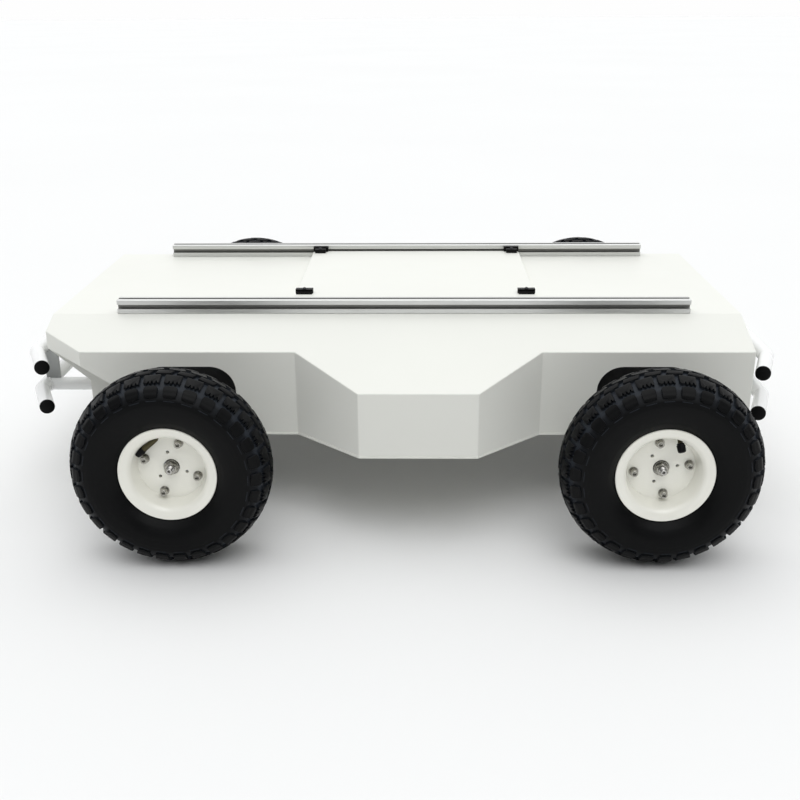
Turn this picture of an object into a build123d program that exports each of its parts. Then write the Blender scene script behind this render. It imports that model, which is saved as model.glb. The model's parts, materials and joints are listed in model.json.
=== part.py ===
from build123d import *
import math
import os

# A four-wheel robot chassis: a folded and welded sheet-steel body on a tube frame, two T-slot
# rails and a clipped hatch plate on the deck, tube bumpers at both ends, and four pneumatic
# wheels, each driven by its own planetary gear motor.
# Millimetres. X runs along the chassis with the nose at -X, Y runs across it with the left side
# at -Y, and Z is up from the ground.

# ---- body shell
SHEET = 2.0                # thickness of every folded sheet
NOSE_X = -495.0            # front face of the nose
REAR_X = 485.0             # rear face
DECK_Z = 276.0             # top of the flat deck
CREASE_Y = 197.0           # fold between the deck and a sloping shoulder
SHOULDER_FALL = 0.350      # fall of a shoulder per mm outward
NOSE_HALF = 237.0          # half width of the nose face
CHAMFER_X = -436.0         # where the nose chamfer meets the side
SIDE_Y = 283.0             # outer face of a side
BULGE_Y = 368.5            # outer face of a side bulge
BULGE_MID = 28.0           # middle of the bulges along X
BULGE_ROOT_HALF = 168.5    # half length of a bulge where it leaves the side
BULGE_FACE_HALF = 79.0     # half length of a bulge's face
FLOOR_Z = 128.5            # lower edge of the skins, top of the bottom plate
NOSE_LIP_Z = 237.5         # lower edge of the nose face
CHAMFER_LIP_Z = 225.0      # lower edge of the skin where the chamfer ends
UNDERCUT_FALL = 0.66       # fall of the skin's lower edge per mm, from there to the wheel opening
CHEEK_Y = 237.0            # outer face of the inner cheeks behind the nose
LOWER_FRONT_X = -439.0     # front face of the hull below the undercut nose
LOWER_FRONT_Z = 190.0      # upper edge of that face
CHEEK_END_X = -362.0       # rear end of the cheeks

# ---- bottom plate and hatch
BOTTOM_THICK = 3.0
BOTTOM_LIP = 1.0           # how far the bottom plate stands proud of the skins
MOTOR_NOTCH_HALF = 48.0
MOTOR_NOTCH_INNER = 15.0   # notch's inner end, from the centre line
HATCH_MID = 23.0
HATCH_HALF_X = 178.0
HATCH_HALF_Y = 176.0
HATCH_RISE = 10.0          # top of the hatch plate above the deck
HATCH_HOLE_HALF = 150.0
CLIP_WIDE = 25.0           # clip's flange along the rail
CLIP_NARROW = 18.0         # clip's pad on the hatch plate
CLIP_FLANGE = 8.0
CLIP_REACH = 20.0          # from the rail to the pad's end
LATCH_Y = 116.0            # the left side has two latches that stand on the lid instead
LATCH_BASE = (23.0, 20.0, 3.5)
LATCH_WING = (25.6, 10.0)
CLIP_RISE = 8.5
CLIP_PAD_DROP = 2.0        # the pad is this much lower than the flange
CLIP_SPREAD = 165.0        # clips stand this far fore and aft of the hatch's middle
CLIP_SCREW_INSET = 6.5     # screw's distance from the pad's end
CLIP_SCREW_R = 1.5
CLIP_SCREW_HOLE_R = 1.6
CLIP_SCREW_HEAD_R = 3.0
CLIP_SCREW_HEAD = 1.8

# ---- equipment on the floor
BATTERY = (260.0, 190.0, 100.0)
BATTERY_EAR = (8.0, 70.0, 12.0)
BATTERY_CORNER_R = 8.0
CONTROLLER_HALF = 60.0     # half length of a motor controller
CONTROLLER_HIGH = 34.0
FIN_COUNT = 9
FIN_PITCH = 13.5
FIN_THICK = 4.0
FIN_HIGH = 10.0

# ---- wheels and drive
TYRE_R = 131.0
AXLE_Z = TYRE_R
WHEELBASE = 631.0
AXLE_MID = 24.5
TRACK_HALF = 406.0         # mid-plane of a tyre
TYRE_HALF_W = 44.0
CAVITY_R = 87.0            # middle of the tyre's air space
CAVITY_HIGH = 30.5
CAVITY_HALF = 37.5
VALVE_Y = 14.0             # valve's distance outboard of the mid-plane
VALVE_TIP_R = 32.0
OPENING_HALF = 67.0        # half width of a wheel opening
OPENING_TOP = 225.0
OPENING_R = 35.0
RIM_SHEET = 2.5
RIM_FLANGE_R = 63.5
RIM_BARREL_R = 48.8
WEB_FACE = 4.0             # web's outer face, outboard of the mid-plane
HUB_FACE = WEB_FACE - 2 * RIM_SHEET
HUB_FLANGE = 8.0
HUB_FLANGE_R = 43.0
HUB_R = 21.0
HUB_LEN = 50.0
BOLT_COUNT = 4
BOLT_PCD = 71.0
BOLT_R = 3.0
BOLT_HOLE_R = 3.3
BOLT_HEAD_R = 4.6          # socket heads on the outside
BOLT_HEAD = 8.0
SOCKET_FLATS = 5.0
SOCKET_DEEP = 4.0
BOLT_TAIL = 6.5            # bolt's end, behind the hub flange
NUT_FLATS = 10.0
NUT_HIGH = 4.8
WASHER_R = 6.2
WASHER_THICK = 1.4
THREAD_GAP = 0.1           # a nut's or washer's bore stands off its thread by this much
WEB_HOLE_R = 2.25          # three small holes in the web
WEB_HOLE_PCR = 20.7
WEB_HOLE_DEEP = 6.0          # how far they go on into the hub
SHAFT_R = 10.0
SHAFT_FIT = 0.05           # radial running clearance of the axle
STUD_R = 5.0               # threaded outer end of the axle
STUD_REACH = 17.0          # stud's end, outboard of the web
STUD_DRILL_R = 1.6
STUD_DRILL = 4.0
AXLE_SOCKET = 20.0         # how far the axle reaches into the gearbox
AXLE_WASHER_R = 10.2
AXLE_WASHER = 1.8
AXLE_NUT_FLATS = 16.0
AXLE_NUT_HIGH = 7.2
PLATE_IN = 225.0           # inner face of a motor plate
PLATE_THICK = 8.0
PLATE_HALF = 93.0
PLATE_LOW = 83.0
PLATE_HIGH = 222.0
PLATE_CORNER_R = 14.0
PLATE_BORE_R = 16.0
HOUSING_END = 340.0        # outer end of an axle housing
HOUSING_FLANGE_R = 40.0
HOUSING_FLANGE = 8.0
HOUSING_R = 24.0
HOUSING_BOSS_R = 28.0
HOUSING_BOSS = 22.0
HOUSING_BOLT_PCR = 32.0
HOUSING_BOLT_HEAD = 5.0
GEARBOX_R = 41.0
GEARBOX_LEN = 80.0
GEARBOX_FLANGE_R = 45.0
GEARBOX_FLANGE = 10.0
GROOVE_COUNT = 3
GROOVE_FIRST = 12.0        # from the gearbox's back to its first groove
GROOVE_PITCH = 16.0
GROOVE_WIDE = 2.0
GROOVE_DEEP = 1.0
MOTOR_R = 40.0
MOTOR_LEN = 110.0
BELL_R = 34.0
BELL_LEN = 12.0
GLAND_HALF = 14.0
GLAND_NEAR = 6.0           # gland block's ends, from the motor's back
GLAND_FAR = 34.0
GLAND_RISE = 12.0          # its top above the motor can

# ---- frame
TUBE = 30.0
TUBE_WALL = 2.0
LONG_Y = 180.0             # centre of a longitudinal tube
PORTAL_OFFSET = 78.0       # cross tubes stand this far fore and aft of an axle

# ---- rails
RAIL = 20.0
RAIL_Y = 187.0
RAIL_X0 = -402.0
RAIL_X1 = 413.0
SLOT_MOUTH = 6.2
SLOT_LIP = 1.8
SLOT_WIDE = 11.2
SLOT_DEPTH = 6.1
SLOT_FLOOR = 5.6
SLOT_STEP = 1.5            # straight part of a slot's side below its lip
RAIL_BORE_R = 2.5
RAIL_CORNER_R = 1.2
RAIL_BOLTS = 5
RAIL_BOLT_INSET = 25.0     # first and last bolt, from the rail's ends
RAIL_BOLT_HEAD = 4.0
RAIL_BOLT_HEAD_R = 5.0
SLIDE_NUT = (12.0, 10.6, 1.5)

# ---- bumpers
BAR_R = 10.5
BAR_WALL = 2.0
BAR_STRAIGHT = 182.0       # half length of a front bar's straight run, to the elbow
BAR_END_Y = 258.0          # tip of its bent end
REAR_BAR_EXTRA = 23.0      # the rear bars are this much longer on each side
FRONT_BAR_X = 531.0
FRONT_BACKSET = 32.0       # how far the tips come back towards the body
REAR_BAR_X = 525.0
REAR_BACKSET = 27.0        # the tips pass just behind the rear corners
BAR_BEND_R = 26.0
UPPER_BAR_Z = 215.5
LOWER_BAR_Z = 157.5
STAY_R = 9.5
STAY_Y = 158.0
LINK_Y = STAY_Y             # the links stand on the stays
LINK_THICK = 4.0
LINK_WIDTH = 22.0
CAP_THICK = 2.5
CAP_PLUG = 10.0            # how far a cap's plug goes into its tube
CAP_ROUND = 1.2

LEFT, RIGHT = -1, 1
AXLES = {"front": AXLE_MID - WHEELBASE / 2, "rear": AXLE_MID + WHEELBASE / 2}
SIDES = {"left": LEFT, "right": RIGHT}
# angle of the first wheel bolt and of the valve, in the XZ plane
SPIN = {"front_left": (-19.5, 125.0), "rear_left": (8.0, 58.0),
        "front_right": (31.0, 166.0), "rear_right": (52.0, 97.0)}


def block(x0, x1, y0, y1, z0, z1):
    """A box between two corners."""
    lo = [min(x0, x1), min(y0, y1), min(z0, z1)]
    size = [abs(x1 - x0), abs(y1 - y0), abs(z1 - z0)]
    return Pos(*lo) * Box(*size, align=(Align.MIN, Align.MIN, Align.MIN))


def rod_y(x, z, y0, y1, r, bore=0.0):
    """A round bar or tube along Y."""
    length = abs(y1 - y0)
    bar = Cylinder(r, length)
    if bore:
        bar -= Cylinder(bore, length + 1)
    return Pos(x, (y0 + y1) / 2, z) * Rot(90, 0, 0) * bar


def rod_x(y, z, x0, x1, r, bore=0.0):
    """A round bar or tube along X."""
    length = abs(x1 - x0)
    bar = Cylinder(r, length)
    if bore:
        bar -= Cylinder(bore, length + 1)
    return Pos((x0 + x1) / 2, y, z) * Rot(0, 90, 0) * bar


def rod_z(x, y, z0, z1, r):
    return Pos(x, y, (z0 + z1) / 2) * Cylinder(r, abs(z1 - z0))


def plate_xz(points, y0, y1):
    """A flat plate with an outline in the XZ plane, between two Y values."""
    face = make_face(Polyline([(x, -z) for x, z in points], close=True))
    solid = extrude(face, amount=abs(y1 - y0))
    return Pos(0, min(y0, y1), 0) * Rot(-90, 0, 0) * solid


def plate_xy(points, z0, z1):
    """A flat plate with an outline in the XY plane, between two heights."""
    return Pos(0, 0, z0) * extrude(make_face(Polyline(points, close=True)), amount=z1 - z0)


def roof_prism(top_shift):
    """Everything under the folded roof line lowered by top_shift, along the whole body."""
    fold_z = DECK_Z - top_shift
    edge_y = BULGE_Y + 20
    edge_z = fold_z - SHOULDER_FALL * (edge_y - CREASE_Y)
    section = [(-edge_y, 0), (edge_y, 0), (edge_y, edge_z), (CREASE_Y, fold_z),
               (-CREASE_Y, fold_z), (-edge_y, edge_z)]
    face = make_face(Polyline(section, close=True))
    solid = extrude(face, amount=REAR_X - NOSE_X + 40)
    return Pos(NOSE_X - 20, 0, 0) * Plane.YZ.location * solid


def side_outline(side):
    """Plan points of one side of the body, nose to tail."""
    root0, root1 = BULGE_MID - BULGE_ROOT_HALF, BULGE_MID + BULGE_ROOT_HALF
    face0, face1 = BULGE_MID - BULGE_FACE_HALF, BULGE_MID + BULGE_FACE_HALF
    points = [(NOSE_X, NOSE_HALF), (CHAMFER_X, SIDE_Y), (root0, SIDE_Y), (face0, BULGE_Y),
              (face1, BULGE_Y), (root1, SIDE_Y), (REAR_X, SIDE_Y)]
    return [(x, side * y) for x, y in points]


def plan_face():
    return make_face(Polyline(side_outline(LEFT) + side_outline(RIGHT)[::-1], close=True))


def top_cover():
    """Deck and shoulders, folded from one sheet, with the hatch hole and the rail bolt holes."""
    plan = extrude(plan_face(), amount=DECK_Z + 10)
    # the sheet lies between the roof line and the same line SHEET lower
    cover = plan & (roof_prism(0) - roof_prism(SHEET))
    hole = RectangleRounded(2 * HATCH_HOLE_HALF, 2 * HATCH_HOLE_HALF, 25)
    cover -= Pos(HATCH_MID, 0, DECK_Z - 20) * extrude(hole, amount=40)
    for x, y in rail_bolt_places():
        cover -= rod_z(x, y, DECK_Z - 20, DECK_Z + 10, BOLT_HOLE_R)
    return cover


def opening_cutter(axle_x, side):
    """A wheel opening: square at the bottom, rounded at the top corners."""
    reach = side * (SIDE_Y + 40)
    low = block(axle_x - OPENING_HALF, axle_x + OPENING_HALF, side * 200, reach,
                0, OPENING_TOP - OPENING_R)
    high = block(axle_x - OPENING_HALF + OPENING_R, axle_x + OPENING_HALF - OPENING_R,
                 side * 200, reach, 0, OPENING_TOP)
    cutter = low + high
    for way in (-1, 1):
        corner_x = axle_x + way * (OPENING_HALF - OPENING_R)
        cutter += rod_y(corner_x, OPENING_TOP - OPENING_R, side * 200, reach, OPENING_R)
    return cutter


def side_skin(side):
    """Chamfer, side and bulge of one flank, bent from one sheet."""
    plan = plan_face()
    ring = extrude(plan, amount=DECK_Z) - extrude(offset(plan, amount=-SHEET, kind=Kind.INTERSECTION),
                                                  amount=DECK_Z)
    ring &= roof_prism(SHEET)
    flank = block(NOSE_X - 1, REAR_X + 1, side * (NOSE_HALF - 1.3), side * (BULGE_Y + 1), FLOOR_Z, DECK_Z)
    skin = ring & flank
    # the rear face between the flanks is a panel of its own
    skin -= block(REAR_X - SHEET, REAR_X + 1, side * 200, side * (SIDE_Y - SHEET), 0, DECK_Z)
    rise = AXLES["front"] - OPENING_HALF
    undercut = [(NOSE_X - 10, NOSE_LIP_Z), (NOSE_X, NOSE_LIP_Z), (CHAMFER_X, CHAMFER_LIP_Z),
                (rise, CHAMFER_LIP_Z - UNDERCUT_FALL * (rise - CHAMFER_X)), (rise, 0), (NOSE_X - 10, 0)]
    skin -= plate_xz(undercut, side * 200, side * (BULGE_Y + 10))
    for axle_x in AXLES.values():
        skin -= opening_cutter(axle_x, side)
    return skin


def front_panel():
    """Nose face, sloping underside and lower front face in one sheet, with a cheek each side."""
    outer = [(NOSE_X, DECK_Z), (NOSE_X, NOSE_LIP_Z), (LOWER_FRONT_X, LOWER_FRONT_Z),
             (LOWER_FRONT_X, FLOOR_Z), (CHEEK_END_X, FLOOR_Z), (CHEEK_END_X, DECK_Z)]
    slope = math.atan2(NOSE_LIP_Z - LOWER_FRONT_Z, LOWER_FRONT_X - NOSE_X)
    lift = SHEET / math.cos(slope)
    nose_in, front_in = NOSE_X + SHEET, LOWER_FRONT_X + SHEET
    fall = math.tan(slope)
    inner = [(nose_in, DECK_Z + 1), (nose_in, NOSE_LIP_Z + lift - SHEET * fall),
             (front_in, LOWER_FRONT_Z + lift - SHEET * fall), (front_in, FLOOR_Z - 1),
             (CHEEK_END_X + 1, FLOOR_Z - 1), (CHEEK_END_X + 1, DECK_Z + 1)]
    panel = plate_xz(outer, -CHEEK_Y, CHEEK_Y) - plate_xz(inner, -CHEEK_Y + SHEET, CHEEK_Y - SHEET)
    # trim to the roof and take out what the flanks and the frame fill
    panel &= roof_prism(SHEET)
    for side in (LEFT, RIGHT):
        panel -= side_skin(side)
    return panel


def rear_panel():
    panel = block(REAR_X - SHEET, REAR_X, -SIDE_Y + SHEET, SIDE_Y - SHEET, FLOOR_Z, DECK_Z)
    return panel & roof_prism(SHEET)


def motor_notch(axle_x, before_y, step_y, after_y):
    """Outline points where the bottom plate steps back for a motor plate and its motor."""
    plate, slot = PLATE_HALF + 2, MOTOR_NOTCH_HALF
    return [(axle_x - plate, before_y), (axle_x - plate, step_y),
            (axle_x - slot, step_y), (axle_x - slot, MOTOR_NOTCH_INNER),
            (axle_x + slot, MOTOR_NOTCH_INNER), (axle_x + slot, step_y),
            (axle_x + plate, step_y), (axle_x + plate, after_y)]


def bottom_plate():
    """Floor of the body, a little proud of the skins, notched for the wheels and motors."""
    lip_side, lip_bulge = SIDE_Y + BOTTOM_LIP, BULGE_Y + BOTTOM_LIP
    step_y = PLATE_IN - 1
    half = [(LOWER_FRONT_X - BOTTOM_LIP, CHEEK_Y + BOTTOM_LIP)]
    half += motor_notch(AXLES["front"], CHEEK_Y + BOTTOM_LIP, step_y, lip_side)
    half += [(BULGE_MID - BULGE_ROOT_HALF, lip_side), (BULGE_MID - BULGE_FACE_HALF, lip_bulge),
             (BULGE_MID + BULGE_FACE_HALF, lip_bulge), (BULGE_MID + BULGE_ROOT_HALF, lip_side)]
    half += motor_notch(AXLES["rear"], lip_side, step_y, lip_side)
    half.append((REAR_X + BOTTOM_LIP, lip_side))
    outline = half + [(x, -y) for x, y in half[::-1]]
    return plate_xy(outline, FLOOR_Z - BOTTOM_THICK, FLOOR_Z)


def square_tube(length):
    """A square tube along its local Z, standing on the origin."""
    outside = Box(TUBE, TUBE, length, align=(Align.CENTER, Align.CENTER, Align.MIN))
    hollow = TUBE - 2 * TUBE_WALL
    return outside - Box(hollow, hollow, length, align=(Align.CENTER, Align.CENTER, Align.MIN))


def frame_longitudinals():
    """Two tubes under the deck, below the rails, drilled for the rail bolts."""
    tubes = []
    x0, x1 = NOSE_X + 25, REAR_X - 15
    for side in (LEFT, RIGHT):
        place = Pos(x0, side * LONG_Y, DECK_Z - SHEET - TUBE / 2) * Rot(0, 90, 0)
        tube = place * square_tube(x1 - x0)
        for x, y in rail_bolt_places():
            tube -= rod_z(x, y, DECK_Z - 8, DECK_Z, BOLT_HOLE_R)
        tubes.append(tube)
    return tubes


def portal_places():
    return [axle_x + way * PORTAL_OFFSET for axle_x in AXLES.values() for way in (-1, 1)]


def frame_portals():
    """Four U-shaped portals: a cross tube on the floor and a post up to each longitudinal."""
    pieces = []
    post_z0, post_z1 = FLOOR_Z + TUBE, DECK_Z - SHEET - TUBE
    for x in portal_places():
        cross = Pos(x, -PLATE_IN, FLOOR_Z + TUBE / 2) * Rot(-90, 0, 0) * square_tube(2 * PLATE_IN)
        pieces.append(cross)
        for side in (LEFT, RIGHT):
            pieces.append(Pos(x, side * LONG_Y, post_z0) * square_tube(post_z1 - post_z0))
    return pieces


def hatch_plate():
    """A shallow lid with its edges folded down to the deck."""
    mid_z = DECK_Z + HATCH_RISE / 2
    lid = Pos(HATCH_MID, 0, mid_z) * Box(2 * HATCH_HALF_X, 2 * HATCH_HALF_Y, HATCH_RISE)
    inside = Pos(HATCH_MID, 0, mid_z - SHEET) * Box(2 * (HATCH_HALF_X - SHEET),
                                                    2 * (HATCH_HALF_Y - SHEET), HATCH_RISE)
    lid -= inside
    for x, side in clip_places():
        lid -= rod_z(x, side * clip_screw_y(side), DECK_Z, DECK_Z + HATCH_RISE + 1, CLIP_SCREW_HOLE_R)
    return lid


def clip_places():
    return [(HATCH_MID + way * CLIP_SPREAD, side) for way in (-1, 1) for side in (LEFT, RIGHT)]


def clip_screw_y(side):
    return LATCH_Y if side == LEFT else RAIL_Y - RAIL / 2 - CLIP_REACH + CLIP_SCREW_INSET


def rail_clip(x, side, base):
    """A moulded clip: a wide flange against the rail, a tongue in its slot, a pad on the lid."""
    face = RAIL_Y - RAIL / 2
    wide = block(x - CLIP_WIDE / 2, x + CLIP_WIDE / 2, side * face, side * (face - CLIP_FLANGE),
                 base, base + CLIP_RISE)
    pad = block(x - CLIP_NARROW / 2, x + CLIP_NARROW / 2, side * (face - CLIP_FLANGE),
                side * (face - CLIP_REACH), base, base + CLIP_RISE - CLIP_PAD_DROP)
    tongue = block(x - CLIP_WIDE / 2, x + CLIP_WIDE / 2, side * face, side * (face + 4),
                   base + 0.2, base + 2.6)
    return wide + pad + tongue


def latch(x, side, base):
    """A turn latch: a low base and a wing across it."""
    long, deep, high = LATCH_BASE
    wing_long, wing_deep = LATCH_WING
    y = side * LATCH_Y
    foot = block(x - long / 2, x + long / 2, y - deep / 2, y + deep / 2, base, base + high)
    return foot + block(x - wing_long / 2, x + wing_long / 2, y - wing_deep / 2, y + wing_deep / 2,
                        base, base + CLIP_RISE - CLIP_PAD_DROP)


def hatch_clips():
    """What holds the lid: two latches on the left, two clips at the right rail."""
    clips = []
    base = DECK_Z + HATCH_RISE
    for x, side in clip_places():
        clip = latch(x, side, base) if side == LEFT else rail_clip(x, side, base)
        hole = rod_z(x, side * clip_screw_y(side), base - 1, base + CLIP_RISE, CLIP_SCREW_HOLE_R)
        clips.append(clip - hole)
    return clips


def clip_screws():
    """A pan-head screw through each clip into the hatch plate."""
    screws = []
    top = DECK_Z + HATCH_RISE + CLIP_RISE - CLIP_PAD_DROP
    for x, side in clip_places():
        y = side * clip_screw_y(side)
        shank = rod_z(x, y, DECK_Z + HATCH_RISE - 6, top, CLIP_SCREW_R)
        screws.append(shank + rod_z(x, y, top, top + CLIP_SCREW_HEAD, CLIP_SCREW_HEAD_R))
    return screws


def slot_cutter():
    """Section of one T-slot, its mouth at the top edge of the profile."""
    top = RAIL / 2
    mouth, wide, floor = SLOT_MOUTH / 2, SLOT_WIDE / 2, SLOT_FLOOR / 2
    lip, step = top - SLOT_LIP, top - SLOT_LIP - SLOT_STEP
    half = [(mouth, top + 1), (mouth, lip), (wide, lip), (wide, step), (floor, top - SLOT_DEPTH)]
    points = half + [(-x, y) for x, y in half[::-1]]
    return make_face(Polyline(points, close=True))


def rail(side):
    """A 20 mm square T-slot extrusion lying on the deck."""
    section = RectangleRounded(RAIL, RAIL, RAIL_CORNER_R)
    for quarter in range(4):
        section -= Rot(0, 0, 90 * quarter) * slot_cutter()
    section -= Circle(RAIL_BORE_R)
    profile = extrude(section, amount=RAIL_X1 - RAIL_X0)
    return Pos(RAIL_X0, side * RAIL_Y, DECK_Z + RAIL / 2) * Plane.YZ.location * profile


def rail_bolt_places():
    first, last = RAIL_X0 + RAIL_BOLT_INSET, RAIL_X1 - RAIL_BOLT_INSET
    step = (last - first) / (RAIL_BOLTS - 1)
    return [(first + step * i, side * RAIL_Y) for i in range(RAIL_BOLTS) for side in (LEFT, RIGHT)]


def rail_bolts():
    """Bolts from inside the longitudinals up through the deck, with slide nuts in the rail slots."""
    fasteners = []
    head_z = DECK_Z - SHEET - TUBE_WALL
    nut_z = DECK_Z + SLOT_LIP
    for x, y in rail_bolt_places():
        shank = rod_z(x, y, head_z, nut_z, BOLT_R)
        head = rod_z(x, y, head_z - RAIL_BOLT_HEAD, head_z, RAIL_BOLT_HEAD_R)
        nut = Pos(x, y, nut_z + SLIDE_NUT[2] / 2) * Box(*SLIDE_NUT)
        fasteners.append(shank + head + nut)
    return fasteners


def bar_x(way):
    return FRONT_BAR_X if way < 0 else REAR_BAR_X


def bar_path(way, z):
    """Centre line of one bumper bar: straight across, then both ends turned back to the body."""
    backset = REAR_BACKSET if way > 0 else FRONT_BACKSET
    x, tip_x = way * bar_x(way), way * (bar_x(way) - backset)
    extra = REAR_BAR_EXTRA if way > 0 else 0.0
    elbow, tip = BAR_STRAIGHT + extra, BAR_END_Y + extra
    points = [(tip_x, -tip, z), (x, -elbow, z), (x, elbow, z), (tip_x, tip, z)]
    return FilletPolyline(*points, radius=BAR_BEND_R)


def bumper_bars(way):
    bars = []
    for z in (UPPER_BAR_Z, LOWER_BAR_Z):
        path = bar_path(way, z)
        start = path @ 0
        plane = Plane(origin=start, z_dir=path % 0)
        section = plane * (Circle(BAR_R) - Circle(BAR_R - BAR_WALL))
        bars.append(sweep(section, path=path))
    return bars


def bumper_stays(way):
    """Two short tubes that carry the lower bar from the body."""
    stays = []
    wall_x = LOWER_FRONT_X if way < 0 else REAR_X
    for side in (LEFT, RIGHT):
        stay = rod_x(side * STAY_Y, LOWER_BAR_Z, way * bar_x(way), wall_x, STAY_R, STAY_R - BAR_WALL)
        stays.append(stay - rod_y(way * bar_x(way), LOWER_BAR_Z, -BAR_STRAIGHT, BAR_STRAIGHT, BAR_R))
    return stays


def bumper_links():
    """Four flat plates, each tying an upper bar to the lower bar below it."""
    plates = []
    for way in (-1, 1):
        for side in (LEFT, RIGHT):
            outer, inner = way * (bar_x(way) - 1), way * (bar_x(way) - LINK_WIDTH)
            y0, y1 = side * (LINK_Y - LINK_THICK / 2), side * (LINK_Y + LINK_THICK / 2)
            plate = block(outer, inner, y0, y1, LOWER_BAR_Z, UPPER_BAR_Z)
            plate -= rod_x(side * STAY_Y, LOWER_BAR_Z, outer, inner, STAY_R)
            for z in (UPPER_BAR_Z, LOWER_BAR_Z):
                plate -= thick_bar(way, z)
            plates.append(plate)
    return plates


def thick_bar(way, z):
    path = bar_path(way, z)
    plane = Plane(origin=path @ 0, z_dir=path % 0)
    return sweep(plane * Circle(BAR_R), path=path)


def bumper_caps():
    """Push-in end caps of the eight tube ends."""
    caps = []
    for way in (-1, 1):
        for z in (UPPER_BAR_Z, LOWER_BAR_Z):
            path = bar_path(way, z)
            for end, out in ((0, -1), (1, 1)):
                plane = Plane(origin=path @ end, z_dir=(path % end) * out)
                head = extrude(plane * Circle(BAR_R), amount=CAP_THICK)
                plug = extrude(plane * Circle(BAR_R - BAR_WALL), amount=-CAP_PLUG)
                caps.append(fillet(head.edges().sort_by_distance(plane.origin)[-1], CAP_ROUND) + plug)
    return caps


def ring_of(points_count, radius, start, x, z):
    """Places on a circle in the XZ plane."""
    turn = 360 / points_count
    angles = [math.radians(start + turn * i) for i in range(points_count)]
    return [(x + radius * math.cos(a), z + radius * math.sin(a)) for a in angles]


def spun(section, axle_x, side):
    """Turn a section drawn as (radius, outboard distance) round the axle, on one side."""
    ring = revolve(section, Axis.Y, 360)
    if side == LEFT:
        ring = mirror(ring, Plane.XZ)
    return Pos(axle_x, side * TRACK_HALF, AXLE_Z) * ring


def tyre(axle_x, side):
    """Tyre carcass with its tread as a plain crown."""
    bead = [(51.5, 22.5), (54.8, 26.6), (63.6, 28.7), (65.2, 31.5)]
    shoulder = (118.5, 37.0)
    mirrored = [(r, -y) for r, y in bead]
    lines = [Polyline(bead),
             ThreePointArc(bead[-1], (92.0, TYRE_HALF_W), shoulder),
             ThreePointArc(shoulder, (TYRE_R, 0.0), (shoulder[0], -shoulder[1])),
             ThreePointArc((shoulder[0], -shoulder[1]), (92.0, -TYRE_HALF_W), mirrored[-1]),
             Polyline(mirrored[::-1]),
             Line(mirrored[0], bead[0])]
    section = make_face(lines)
    section -= Pos(CAVITY_R, 0) * Ellipse(CAVITY_HIGH, CAVITY_HALF)
    section -= Pos(57, 0) * Rectangle(14, 38)
    return spun(section, axle_x, side)


def inner_tube(axle_x, side, valve_angle):
    """The air tube, with its rubber-covered valve through the rim into the dish."""
    outside = Ellipse(CAVITY_HIGH - 1, CAVITY_HALF - 1)
    section = Pos(CAVITY_R, 0) * (outside - Ellipse(CAVITY_HIGH - 3, CAVITY_HALF - 3))
    tube = spun(section, axle_x, side)
    valve = Rot(0, -valve_angle, 0) * valve_solid(side)
    return tube + Pos(axle_x, side * TRACK_HALF, AXLE_Z) * valve


def valve_solid(side):
    """Valve stem along +X of the wheel's own frame, from the tube in through the barrel."""
    y = side * VALVE_Y
    stem = rod_x(y, 0, VALVE_TIP_R + 9, 60, 3.0)
    return stem + rod_x(y, 0, VALVE_TIP_R, VALVE_TIP_R + 9, 4.4)


def rim_half(axle_x, side, out, spin, valve_angle):
    """One pressed half of the split rim: flat web, barrel and flared flange."""
    web = WEB_FACE - RIM_SHEET / 2 if out > 0 else WEB_FACE - 1.5 * RIM_SHEET
    middle = FilletPolyline((10.6, web), (46.5, web), (RIM_BARREL_R, out * 22.0), (54.0, out * 28.4),
                            (RIM_FLANGE_R - 0.6, out * 30.4), radius=2.6)
    half = spun(trace(middle, line_width=RIM_SHEET), axle_x, side)
    for x, z in ring_of(BOLT_COUNT, BOLT_PCD / 2, spin, axle_x, AXLE_Z):
        half -= rod_y(x, z, side * (TRACK_HALF - 5), side * (TRACK_HALF + 8), BOLT_HOLE_R)
    for x, z in ring_of(3, WEB_HOLE_PCR, spin, axle_x, AXLE_Z):
        half -= rod_y(x, z, side * (TRACK_HALF - 5), side * (TRACK_HALF + 8), WEB_HOLE_R)
    if out > 0:
        pierce = Rot(0, -valve_angle, 0) * rod_x(side * VALVE_Y, 0, 40, 60, 4.0)
        half -= Pos(axle_x, side * TRACK_HALF, AXLE_Z) * pierce
    return half


def hub(axle_x, side, spin):
    """Flanged hub behind the web, bored for the axle."""
    face, back = side * (TRACK_HALF + HUB_FACE), side * (TRACK_HALF + HUB_FACE - HUB_FLANGE)
    end = side * (TRACK_HALF + HUB_FACE - HUB_LEN)
    body = rod_y(axle_x, AXLE_Z, face, back, HUB_FLANGE_R) + rod_y(axle_x, AXLE_Z, back, end, HUB_R)
    body -= rod_y(axle_x, AXLE_Z, side * (TRACK_HALF + 20), side * (TRACK_HALF - 80), SHAFT_R)
    for x, z in ring_of(BOLT_COUNT, BOLT_PCD / 2, spin, axle_x, AXLE_Z):
        body -= rod_y(x, z, face + side, back - side, BOLT_HOLE_R)
    for x, z in ring_of(3, WEB_HOLE_PCR, spin, axle_x, AXLE_Z):
        body -= rod_y(x, z, face + side, face - side * WEB_HOLE_DEEP, WEB_HOLE_R)
    return body


def axle(axle_x, side):
    """Output shaft of the gearbox: plain in the bearings and hub, threaded outside the web."""
    inner = side * (PLATE_IN - AXLE_SOCKET)
    shoulder = side * (TRACK_HALF + HUB_FACE)
    tip = side * (TRACK_HALF + WEB_FACE + STUD_REACH)
    shaft = rod_y(axle_x, AXLE_Z, inner, shoulder, SHAFT_R) + rod_y(axle_x, AXLE_Z, shoulder, tip, STUD_R)
    # centre drilling in the outer end
    return shaft - rod_y(axle_x, AXLE_Z, tip - side * STUD_DRILL, tip + side, STUD_DRILL_R)


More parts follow.
